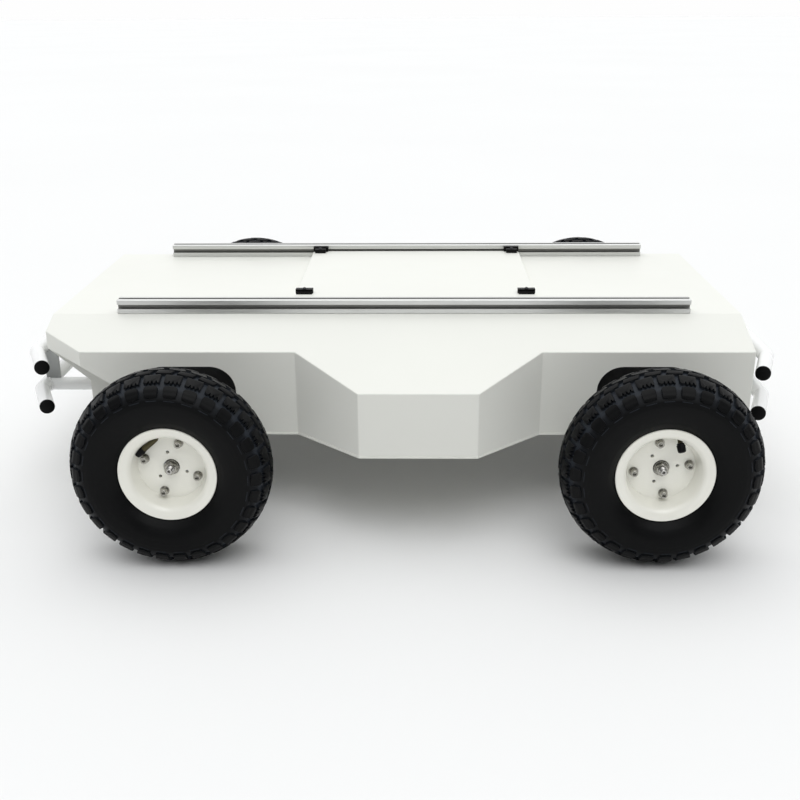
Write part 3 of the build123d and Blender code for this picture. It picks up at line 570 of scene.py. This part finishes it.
def arc(start, middle, end, count):
    """Points on the circle through three points, from start to end."""
    (ax, ay), (bx, by), (cx, cy) = start, middle, end
    d = 2 * (ax * (by - cy) + bx * (cy - ay) + cx * (ay - by))
    aa, bb, cc = ax * ax + ay * ay, bx * bx + by * by, cx * cx + cy * cy
    ux = (aa * (by - cy) + bb * (cy - ay) + cc * (ay - by)) / d
    uy = (aa * (cx - bx) + bb * (ax - cx) + cc * (bx - ax)) / d
    radius = math.hypot(ax - ux, ay - uy)
    angles = [math.atan2(y - uy, x - ux) for x, y in (start, middle, end)]
    sweep = (angles[2] - angles[0]) % (2 * math.pi)
    if (angles[1] - angles[0]) % (2 * math.pi) > sweep:
        sweep -= 2 * math.pi
    steps = [angles[0] + sweep * i / (count - 1) for i in range(count)]
    return [(ux + radius * math.cos(a), uy + radius * math.sin(a)) for a in steps]


def rounded(points, radii, steps=8):
    """A polyline with its inner corners rounded to the given radii."""
    made = [points[0]]
    for before, corner, after, radius in zip(points, points[1:], points[2:], radii):
        a, c, b = Vector(before), Vector(corner), Vector(after)
        to_a, to_b = (a - c).normalized(), (b - c).normalized()
        half = to_a.angle(to_b) / 2
        reach = radius / math.tan(half)
        centre = c + (to_a + to_b).normalized() * (radius / math.sin(half))
        first, last = c + to_a * reach, c + to_b * reach
        middle = centre + (c - centre).normalized() * radius
        made += arc(tuple(first), tuple(middle), tuple(last), steps)
    made.append(points[-1])
    return made


def thickened(line, thickness):
    """A closed section from a centre line."""
    left, right = [], []
    for i, point in enumerate(line):
        a = Vector(line[max(i - 1, 0)])
        b = Vector(line[min(i + 1, len(line) - 1)])
        along = (b - a).normalized()
        across = Vector((-along.y, along.x)) * thickness / 2
        left.append(tuple(Vector(point) + across))
        right.append(tuple(Vector(point) - across))
    return left + right[::-1]


class Crown:
    """The tyre's outer line by distance across it from the middle: radius, outboard and outward."""

    def __init__(self):
        right = arc((TYRE_R, 0.0), (TYRE_R - 3.2, 19.2), (SHOULDER_R, SHOULDER_OUT), 30)
        wall = arc((SHOULDER_R, SHOULDER_OUT), (SIDEWALL_R, TYRE_HALF_W), (BEAD_R, BEAD_OUT), 40)
        self.line = [Vector(point) for point in right + wall[1:]]
        self.reach = [0.0]
        for a, b in zip(self.line, self.line[1:]):
            self.reach.append(self.reach[-1] + (b - a).length)

    def at(self, across, height):
        """(radius, outboard) at a signed distance across, height above the outer line."""
        side = -1 if across < 0 else 1
        s = min(abs(across), self.reach[-1] - 0.01)
        i = max(j for j, value in enumerate(self.reach[:-1]) if value <= s)
        part = (s - self.reach[i]) / (self.reach[i + 1] - self.reach[i])
        point = self.line[i].lerp(self.line[i + 1], part)
        a = self.line[max(i - 1, 0)]
        b = self.line[min(i + 2, len(self.line) - 1)]
        along = (b - a).normalized()
        if i == 0:
            along = Vector((along.x * part, 1.0)).normalized()
        outward = Vector((along.y, -along.x))
        if outward.x < 0 and i < 20:
            outward = -outward
        point = point + outward * height
        return point.x, side * point.y


CROWN = Crown()


def floor_height(across):
    """How far the casing lies under the tread's outer line."""
    s = abs(across)
    if s < TREAD_FLAT:
        return -TREAD_DEPTH
    return -TREAD_DEPTH * max(0.0, 1 - (s - TREAD_FLAT) / TREAD_FADE)


def block(shape, wheel, outline, turn, top=0.0, ease=0.7, dust_and_glint=0.25):
    """A tread block: an outline of (across, along) raised from the casing to the outer line."""
    middle_s = sum(s for s, t in outline) / len(outline)
    middle_t = sum(t for s, t in outline) / len(outline)

    def ring(inset, level):
        points = []
        for s, t in outline:
            ds, dt = s - middle_s, t - middle_t
            size = math.hypot(ds, dt)
            shrink = max(0.0, 1 - inset / size)
            s1, t1 = middle_s + ds * shrink, middle_t + dt * shrink
            height = floor_height(s1) - 0.8 if level is None else level
            r, out = CROWN.at(s1, height)
            points.append(wheel.polar(turn + t1 / TYRE_R, r, out))
        return points

    rings = [ring(-0.5, None), ring(0.0, top - ease),
             ring(ease * 0.3, top - ease * 0.3), ring(ease, top)]
    count = len(outline)
    shape.skin(rings, cap=True, dust_and_glint=[1.0] * count + [dust_and_glint] * count + [0.0] * count * 2)


def mirrored(outline, side):
    return [(side * s, t) for s, t in outline]


def tyre(wheel):
    """Casing with a bead and ring lines, and the tread blocks and shoulder lugs on it."""
    shape = Shape()
    seed = random.Random(wheel.corner)
    start = seed.uniform(0, 2 * math.pi / PITCHES)
    outer = []
    steps = 46
    reach = CROWN.reach[-1]
    for i in range(-steps, steps + 1):
        across = reach * i / steps
        height = floor_height(across)
        s = abs(across)
        for ring_s, ring_h in WALL_RINGS:
            height += ring_h * math.exp(-((s - ring_s) / 0.75) ** 2)
        outer.append((across, height))
    section = [CROWN.at(across, height) for across, height in outer]
    bead = [(63.6, 28.7), (54.8, 26.6), (51.5, 22.5), (51.5, 19.0), (53.5, 18.0)]
    inner = [(r, out) for r, out in arc((60.0, 24.0), (117.0, 0.0), (60.0, -24.0), 30)]
    section += bead + inner + [(r, -out) for r, out in bead[::-1]]
    dust_and_glint = []
    for across, height in outer:
        depth = min(1.0, max(0.0, -height / TREAD_DEPTH))
        dust_and_glint.append(depth * (1.0 if abs(across) < TREAD_FLAT else 0.5))
    dust_and_glint += [0.0] * (len(section) - len(outer))
    count = 180
    wheel.lathe(shape, section, count, dust_and_glint * count)
    pitch = 2 * math.pi / PITCHES
    for i in range(PITCHES):
        for side in (-1, 1):
            turn = start + pitch * (i + (0.5 if side < 0 else 0.0))
            block(shape, wheel, mirrored(MIDDLE_RIB, side), turn + pitch / 2)
            block(shape, wheel, mirrored(OUTER_BLOCK, side), turn)
            lug_block(shape, wheel, mirrored(SHOULDER_LUG, side), turn)
            # The ticks' tops take a high pale weight: a painted glint where light catches their thin ridges.
            lug_block(shape, wheel, mirrored(LUG_TICK, side), turn, 0.9, 0.75)
            lug_block(shape, wheel, mirrored(INNER_TICK, side), turn, 0.6, 0.35)
    return shape


def lug_block(shape, wheel, outline, turn, rise=0.9, glint_top=0.0):
    """A lug that follows the shoulder's curve, with cross rings so that its top bends with it."""
    side = -1 if outline[0][0] < 0 else 1
    rows = sorted({abs(s) for s, t in outline})
    low = {abs(s): t for s, t in outline if t <= 0}
    high = {abs(s): t for s, t in outline if t >= 0}

    def edge(table, s):
        keys = sorted(table)
        if s <= keys[0]:
            return table[keys[0]]
        for a, b in zip(keys, keys[1:]):
            if s <= b:
                return table[a] + (table[b] - table[a]) * (s - a) / (b - a)
        return table[keys[-1]]

    first, last = rows[0], rows[-1]
    count = max(2, int((last - first) / 1.6) + 1)
    line = [first + (last - first) * i / (count - 1) for i in range(count)]
    rings = []
    dust_and_glint = []
    for i, s in enumerate(line):
        t0, t1 = edge(low, s), edge(high, s)
        ends = i in (0, count - 1)
        if s > 45:
            top = rise * (0.35 if ends else 1.0)
        else:
            top = (-0.5 if ends else 0.0) + rise * max(0.0, (s - TREAD_FLAT) / TREAD_FADE)
        base = floor_height(s) - 0.9
        ease = 0.6
        ring = []
        for t, height in ((t0, base), (t0, top - ease), (t0 + ease, top),
                          (t1 - ease, top), (t1, top - ease), (t1, base)):
            r, out = CROWN.at(side * s, height)
            ring.append(wheel.polar(turn + t / TYRE_R, r, out))
        rings.append(ring)
        # Pale weights: the high value at the base is dust in the low places; the top's weight is a painted
        # glint, set only for the ticks.
        dust_and_glint += [0.9, max(0.15, glint_top), glint_top, glint_top, max(0.15, glint_top), 0.9]
    shape.skin(rings, cap=True, dust_and_glint=dust_and_glint)


def rim(wheel, out):
    """One pressed half of the split rim, with its web, barrel, flare and rolled edge."""
    web = WEB_FACE - RIM_SHEET / 2 if out > 0 else WEB_FACE - 1.5 * RIM_SHEET
    line = [(10.6, web), (44.6, web), (50.4, out * 26.8), (RIM_FLANGE_R - 1.6, out * 30.4)]
    middle = rounded(line, [1.8, 8.5], 9)
    section = thickened(middle, RIM_SHEET)
    # the rolled edge is a small bead round the flange's end
    end = Vector(middle[-1])
    half = len(section) // 2
    angles = [math.pi * i / 8 for i in range(1, 8)]
    lip = [tuple(end + Vector((1.6 * math.sin(a), out * 1.45 * math.cos(a)))) for a in angles]
    section = section[:half] + lip[::out] + section[half:]
    shape = Shape()
    wheel.lathe(shape, section, 144)
    mesh = shape.mesh(wheel.corner + "_rim")
    holes = Shape()
    for i in range(3):
        angle = math.radians(wheel.first_bolt + 120 * i)
        turned(holes, wheel.polar(angle, WEB_HOLE_PCR, -6), wheel.out,
               [(0, WEB_HOLE_R), (16, WEB_HOLE_R)], 28)
    return cut(mesh, holes.mesh("hole_cutter"))


def cut(mesh, cutter_mesh):
    """The mesh with another one's volume taken out."""
    target = bpy.data.objects.new("cut_target", mesh)
    cutter = bpy.data.objects.new("cut_tool", cutter_mesh)
    for made in (target, cutter):
        bpy.context.scene.collection.objects.link(made)
    taking = target.modifiers.new("take", "BOOLEAN")
    taking.operation = "DIFFERENCE"
    taking.solver = "EXACT"
    taking.object = cutter
    graph = bpy.context.evaluated_depsgraph_get()
    result = bpy.data.meshes.new_from_object(target.evaluated_get(graph))
    for made in (target, cutter):
        bpy.data.objects.remove(made)
    return result


def knurled(count, depth):
    def outline(angle, along):
        return 1.0 - depth * (0.5 + 0.5 * math.cos(angle * count))
    return outline


def fasteners(wheel):
    """Socket-head bolts on spring and flat washers, their nuts behind the hub, and the axle's nut."""
    shape = Shape()
    for i in range(4):
        angle = math.radians(wheel.first_bolt + 90 * i)
        seat = wheel.polar(angle, BOLT_PCR, 0)
        upper = WEB_FACE + WASHER
        tube_ring(shape, seat, wheel.out, 6.2, 3.2, WEB_FACE, upper)
        tube_ring(shape, seat, wheel.out, 5.3, 3.2, upper, upper + SPRING_WASHER)
        socket_head(shape, seat, wheel.out, upper + SPRING_WASHER)
        nut(shape, seat, wheel.out, NUT_FLATS, -13.0, -9.0)
        turned(shape, seat, wheel.out, [(-16.5, BOLT_R - 0.5), (-16.0, BOLT_R), (-13.0, BOLT_R)], 24)
    centre = wheel.at(0, 0, 0)
    tube_ring(shape, centre, wheel.out, 9.6, STUD_R + 0.1, WEB_FACE, WEB_FACE + 2.0, 0.3, 56)
    nut(shape, centre, wheel.out, AXLE_NUT_FLATS, WEB_FACE + 2.0, WEB_FACE + 9.0)
    return shape


def socket_head(shape, seat, out, base):
    """A cap screw's head with a hexagon socket, its side finely knurled."""
    radius, high, socket, deep = 4.7, 6.2, 2.35, 3.4
    across, up = frame_along(out)
    count = 72
    side = knurled(24, 0.035)

    def ring(size, along, outline=None):
        made = []
        for i in range(count):
            angle = 2 * math.pi * i / count
            reach = size * (outline(angle, along) if outline else 1.0)
            spoke = across * math.cos(angle) + up * math.sin(angle)
            made.append(seat + out * along + spoke * reach)
        return made

    top = base + high
    shape.skin([ring(radius - 0.4, base), ring(radius, base + 0.3, side), ring(radius, top - 0.8, side),
                ring(radius - 0.25, top - 0.35), ring(radius - 0.7, top), ring(socket + 0.55, top),
                ring(socket, top - 0.3, hexagon), ring(socket, top - deep, hexagon),
                ring(0.4, top - deep - 0.9)])


def axle_end(wheel):
    """The stepped output shaft with a threaded, centre-drilled end."""
    shape = Shape()
    low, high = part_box(wheel.corner + "_axle")
    inner = min(abs(low.y), abs(high.y)) / MM - abs(wheel.middle.y)
    tip = max(abs(low.y), abs(high.y)) / MM - abs(wheel.middle.y)
    shoulder = WEB_FACE - 2 * RIM_SHEET
    profile = [(inner, AXLE_R - 0.6), (inner + 0.6, AXLE_R), (shoulder - 0.6, AXLE_R),
               (shoulder, AXLE_R - 0.6), (shoulder, STUD_R - 0.5)]
    profile += thread(shoulder + 1.0, tip - shoulder - 2.5, STUD_R, 1.25, 0.55)
    profile += [(tip - 0.9, STUD_R - 0.6), (tip, STUD_R - 1.4), (tip, 2.0), (tip - 0.9, 1.3),
                (tip - 4.0, 1.3), (tip - 4.6, 0.3)]
    turned(shape, wheel.at(0, 0, 0), wheel.out, profile, 48)
    return shape


def valve(wheel):
    """Brass stem bent out of the barrel, widening to a foot where it leaves it, and its ribbed cap. Returns
    both shapes.
    """
    stem, cap = Shape(), Shape()
    points = [wheel.at(*point) for point in wheel.valve]
    start, knee, end = points
    first, second = (knee - start).normalized(), (end - knee).normalized()
    path = [start - first * 1.5, start, start.lerp(knee, 0.5)]
    bend = [knee - first * 2.2, knee, knee + second * 2.2]
    for i in range(7):
        t = i / 6
        path.append(bend[0] * (1 - t) ** 2 + bend[1] * 2 * t * (1 - t) + bend[2] * t * t)
    cap_length = min(13.5, (end - knee).length - 2.5)
    cap_start = end - second * cap_length
    path.append(cap_start + second * 2)
    sizes = [5.2, 4.4, 3.0] + [2.7 + 0.1 * i for i in range(7)] + [4.3]
    sweep(stem, path, sizes, 28)
    profile = [(0, 4.0), (0.4, 4.7), (2.2, 4.8), (2.8, 5.5), (cap_length - 3.0, 5.3),
               (cap_length - 1.2, 4.8), (cap_length - 0.3, 3.6), (cap_length, 1.8)]
    turned(cap, cap_start, second, profile, 60, knurled(15, 0.06))
    return stem, cap


def sweep(shape, path, sizes, count=24):
    """A round bar of changing radius along a line of points."""
    across = None
    rings = []
    for i, point in enumerate(path):
        before, after = path[max(i - 1, 0)], path[min(i + 1, len(path) - 1)]
        along = (after - before).normalized()
        if across is None:
            across, _ = frame_along(along)
        across = (across - along * across.dot(along)).normalized()
        up = along.cross(across)
        rings.append([point + across * x * sizes[i] + up * y * sizes[i] for x, y in circle(count, 1.0)])
    shape.skin(rings)


def tube(wheel):
    """The air tube inside the tyre."""
    shape = Shape()
    wheel.lathe(shape, [(87 + x * 29, y * 36) for x, y in circle(28, 1.0)], 96)
    return shape


def wheels():
    for corner in CORNERS:
        wheel = Wheel(corner)
        body = wheel.body
        show(corner + "_treaded_tyre", tyre(wheel).mesh("tyre"), body, "tyre", [corner + "_tyre"],
             smooth=40.0, weighted=False)
        show(corner + "_rim_outer_half", rim(wheel, 1), body, "rim_paint", [corner + "_rim_outer"],
             smooth=30.0)
        show(corner + "_rim_inner_half", rim(wheel, -1), body, "rim_paint", [corner + "_rim_inner"],
             smooth=30.0)
        show(corner + "_fasteners", fasteners(wheel).mesh("fasteners"), body, "zinc_bolts",
             [corner + "_wheel_bolts"], smooth=28.0)
        show(corner + "_shaft", axle_end(wheel).mesh("shaft"), body, "shaft_steel",
             [corner + "_axle"], smooth=28.0)
        stem, cap = valve(wheel)
        show(corner + "_air_tube", tube(wheel).mesh("air_tube"), body, "inner_tube",
             [corner + "_inner_tube"])
        show(corner + "_valve_stem", stem.mesh("valve_stem"), body, "inner_tube", (), VALVE_BRASS)
        show(corner + "_valve_cap", cap.mesh("valve_cap"), body, "black_plastic")
        refined(corner + "_hub", every_edge, 0.6, 2, 30.0)


# ---------------------------------------------------------------- bumpers, rails and deck fittings

def bumpers():
    def link_edge(a, b):
        return abs(a.y - b.y) > 3 or abs(a.x - b.x) > 10 or abs(a.z - b.z) > 10

    caps = Shape()
    for end in ENDS:
        weld_beads(end)
    for way in ENDS.values():
        for z in (UPPER_BAR_Z, LOWER_BAR_Z):
            for side in SIDES.values():
                end_cap(caps, way, side, z)
    show("bumper_end_caps", caps.mesh("bumper_end_caps"), "chassis", "black_plastic",
         ["bumper_caps"], smooth=50.0)
    refined("bumper_links", link_edge, 0.5, 2, 60.0)


def end_cap(shape, way, side, z):
    """A domed push-in cap with a flange as wide as the tube."""
    extra = REAR_BAR_EXTRA if way > 0 else 0.0
    tip = Vector((way * (BAR_X[way] - BAR_BACKSET[way]), side * (BAR_END_Y + extra), z))
    bend = Vector((way * BAR_X[way], side * (BAR_STRAIGHT + extra), z))
    profile = [(-10.0, 7.9), (-9.4, 8.5), (0.0, 8.5), (0.0, BAR_R - 0.3), (0.3, BAR_R), (1.1, BAR_R),
               (1.7, BAR_R - 0.4), (2.1, BAR_R - 1.2), (2.35, 7.0), (2.5, 3.0), (2.52, 0.5)]
    turned(shape, tip, tip - bend, profile, 48)


def weld_beads(end):
    """Rippled fillet welds where the stays meet the lower bar and the body."""
    way = ENDS[end]
    wall = LOWER_FRONT_X if way < 0 else REAR_X
    shape = Shape()
    for side in SIDES.values():
        for at_bar in (True, False):
            rings = []
            count, ripples, around = 96, 24, 10
            for i in range(count):
                angle = 2 * math.pi * i / count
                dy, dz = STAY_R * math.cos(angle), STAY_R * math.sin(angle)
                if at_bar:
                    x = way * (BAR_X[way] - math.sqrt(max(0.0, BAR_R ** 2 - dz ** 2)))
                    reach = -way
                else:
                    x, reach = wall, way
                size = 1.9 + 0.22 * math.cos(ripples * angle)
                middle = Vector((x, side * STAY_Y + dy, LOWER_BAR_Z + dz))
                outward = Vector((0, math.cos(angle), math.sin(angle)))
                ring = []
                for j in range(around):
                    turn = 2 * math.pi * j / around
                    ring.append(middle + outward * size * math.cos(turn) * 0.8
                                + Vector((reach, 0, 0)) * size * math.sin(turn))
                rings.append(ring)
            shape.skin(rings, wrap=True)
    show(end + "_stay_welds", shape.mesh("stay_welds"), "chassis", "bumper_paint", smooth=60.0,
         weighted=False)


def paint_slot_shade(rail):
    """Paints shade into a rail's slots and bore: their deep faces take the darker, duller slot finish."""
    mesh = rail.data
    low = [min(vert.co[i] for vert in mesh.vertices) for i in range(3)]
    high = [max(vert.co[i] for vert in mesh.vertices) for i in range(3)]
    mesh.materials.append(RAIL_SLOT_SHADE)
    for face in mesh.polygons:
        middle = face.center
        depth = min(middle.y - low[1], high[1] - middle.y, middle.z - low[2], high[2] - middle.z)
        if depth > 0.9 * MM and abs(face.normal.x) < 0.5:
            face.material_index = 1


def deck_fittings():
    """The hatch's clips and latches with their screws, and the rails."""
    def clip_edge(a, b):
        return abs(a.y) < 177.5 and a.z > CLIP_FOOT_Z

    refined("hatch_clips", clip_edge, 1.3, 3, 40.0)
    for side in SIDES:
        # The rails' slots get painted shade.
        paint_slot_shade(refined(side + "_rail", no_edge, smooth=28.0))
    pan_head = [(0, 1.2), (0.4, 1.5), (6.2, 1.5), (6.2, 2.9), (6.5, 3.0), (7.0, 2.9), (7.6, 2.3),
                (8.0, 1.4), (8.0, 1.0), (7.0, 0.8), (6.9, 0.2)]
    head_r, length = 3, 8
    screws = Shape()
    low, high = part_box("clip_screws")
    top = high.z / MM
    for x in (low.x / MM + head_r, high.x / MM - head_r):
        for y in (low.y / MM + head_r, high.y / MM - head_r):
            turned(screws, (x, y, top - length), (0, 0, 1), pan_head, 32)
    show("clip_pan_screws", screws.mesh("clip_pan_screws"), "chassis", "black_screws",
         ["clip_screws"], smooth=40.0)


# ---------------------------------------------------------------- drive, frame and what is inside

def insides():
    def lengthwise(a, b):
        return abs(a.x - b.x) > 50

    def upright_or_across(a, b):
        return abs(a.z - b.z) > 20 or abs(a.y - b.y) > 50

    refined("motor_plates", every_edge, 0.8, 2, 40.0)
    refined("axle_housings", every_edge, 0.7, 2, 40.0)
    for corner in CORNERS:
        refined(corner + "_gearbox", every_edge, 0.4, 2, 50.0)
        refined(corner + "_motor", every_edge, 1.0, 2, 40.0)
    refined("battery_pack", every_edge, 1.5, 3, 40.0)
    refined("motor_controllers", every_edge, 0.4, 2, 40.0)
    refined("rail_bolts", every_edge, 0.3, 1, 50.0)
    refined("frame_longitudinals", lengthwise, 2.0, 3, 40.0)
    refined("frame_portals", upright_or_across, 1.0, 2, 40.0)
    floor_screws()


def floor_screws():
    """Button-head screws that hold the bottom plate to the skins and the portals."""
    button_head = [(0, 4.6), (1.1, 4.6), (1.5, 4.4), (2.4, 3.5), (3.0, 2.2), (3.0, 1.6), (1.8, 1.4), (1.7, 0.2)]
    places = ((-420, 215), (-60, 350), (28, 355), (116, 350), (-170, 268), (226, 268), (462, 268),
              (-420, 90), (462, 90), (-60, 90), (28, 200), (116, 90))
    shape = Shape()
    under = FLOOR_Z - BOTTOM_THICK
    for side in SIDES.values():
        for x, y in places:
            turned(shape, (x, side * y, under + 1.0), (0, 0, -1), button_head, 32)
    show("floor_screws", shape.mesh("floor_screws"), "chassis", "black_screws", smooth=40.0)


def carried_over():
    """CAD nodes shown as they are take the same finishes as the pieces."""
    for node in ("front_bumper_bars", "rear_bumper_bars", "front_bumper_stays", "rear_bumper_stays"):
        held = frame["nodes"][node]
        for i in range(len(held.data.materials)):
            held.material_slots[i].material = FINISHES[slot_of_node(node)]


# ---------------------------------------------------------------- floor, light and camera

def studio():
    lay_floor()
    light_world()
    sun("front_key", (0.15, -0.55, 0.80), 0.70, 40.0)
    sun("top_key", (-0.1, 0.15, 1.0), 0.60, 60.0)


def lay_floor():
    floor_mesh = bpy.data.meshes.new("studio_floor")
    reach = FLOOR_REACH
    corners = [(-reach, -reach, 0), (reach, -reach, 0), (reach, reach, 0), (-reach, reach, 0)]
    floor_mesh.from_pydata(corners, [], [(0, 1, 2, 3)])
    made = Finish("studio_floor", Roughness=0.7)
    made.colour(made.ramp(made.noise(0.5, 3.0), [(0.3, (0.80, 0.80, 0.795)), (0.7, (0.815, 0.815, 0.81))]))
    floor_mesh.materials.append(made.material)
    floor = bpy.data.objects.new("studio_floor", floor_mesh)
    bpy.context.scene.collection.objects.link(floor)


def light_world():
    """A sky that is bright above and behind the object, dark low in front, and plain where it is seen."""
    world = bpy.data.worlds.new("studio_world")
    bpy.context.scene.world = world
    world.use_nodes = True
    tree = world.node_tree
    sky = tree.nodes["Background"]
    place = tree.nodes.new("ShaderNodeTexCoord")
    split = tree.nodes.new("ShaderNodeSeparateXYZ")
    ramp = tree.nodes.new("ShaderNodeValToRGB")
    marks = ramp.color_ramp.elements
    for level, value in SKY_LEVELS:
        marks.new(level).color = (value * 0.98, value, value * 1.02, 1.0)
    marks[0].color = (0.66, 0.66, 0.66, 1.0)
    marks[-1].color = (0.97, 0.99, 1.0, 1.0)
    tree.links.new(place.outputs["Generated"], split.inputs["Vector"])
    tree.links.new(split.outputs["Z"], ramp.inputs["Fac"])
    behind = tree.nodes.new("ShaderNodeMapRange")
    behind.inputs["From Min"].default_value = 0.02
    behind.inputs["From Max"].default_value = 0.45
    tree.links.new(split.outputs["Y"], behind.inputs["Value"])
    wall = blend_to(tree, (0.84, 0.845, 0.85, 1.0))
    tree.links.new(behind.outputs["Result"], wall.inputs["Factor"])
    tree.links.new(ramp.outputs["Color"], wall.inputs[6])
    seen = blend_to(tree, (0.80, 0.80, 0.80, 1.0))
    path = tree.nodes.new("ShaderNodeLightPath")
    tree.links.new(path.outputs["Is Camera Ray"], seen.inputs["Factor"])
    tree.links.new(wall.outputs[2], seen.inputs[6])
    tree.links.new(seen.outputs[2], sky.inputs["Color"])
    sky.inputs["Strength"].default_value = SKY


def blend_to(tree, colour):
    """A colour mix whose second colour is fixed."""
    node = tree.nodes.new("ShaderNodeMix")
    node.data_type = "RGBA"
    node.inputs[7].default_value = colour
    return node


def sun(name, towards, strength, spread):
    """A very soft lamp far away, in the direction given, spread degrees wide."""
    data = bpy.data.lights.new(name, "SUN")
    data.energy = strength
    data.angle = math.radians(spread)
    lamp = bpy.data.objects.new(name, data)
    lamp.rotation_euler = (-Vector(towards)).to_track_quat("-Z", "Y").to_euler()
    bpy.context.scene.collection.objects.link(lamp)


def camera():
    """A view from the left side, looking down on the deck."""
    pitch, yaw, roll = [math.radians(angle) for angle in (CAMERA_PITCH, CAMERA_YAW, CAMERA_ROLL)]
    level = math.cos(pitch)
    forward = Vector((math.sin(yaw) * level, math.cos(yaw) * level, -math.sin(pitch)))
    right = Vector((math.cos(yaw), -math.sin(yaw), 0.0))
    down = forward.cross(right)
    across = right * math.cos(roll) + down * math.sin(roll)
    below = down * math.cos(roll) - right * math.sin(roll)
    data = bpy.data.cameras.new("studio_camera")
    data.lens = CAMERA_LENS
    data.shift_y = CAMERA_SHIFT
    viewer = bpy.data.objects.new("studio_camera", data)
    turn = Matrix((across, -below, -forward)).transposed().to_4x4()
    viewer.matrix_world = Matrix.Translation(CAMERA_PLACE) @ turn
    bpy.context.scene.collection.objects.link(viewer)
    bpy.context.scene.camera = viewer
    bpy.context.scene.view_settings.view_transform = "Standard"


shell()
wheels()
bumpers()
deck_fittings()
insides()
carried_over()
studio()
camera()
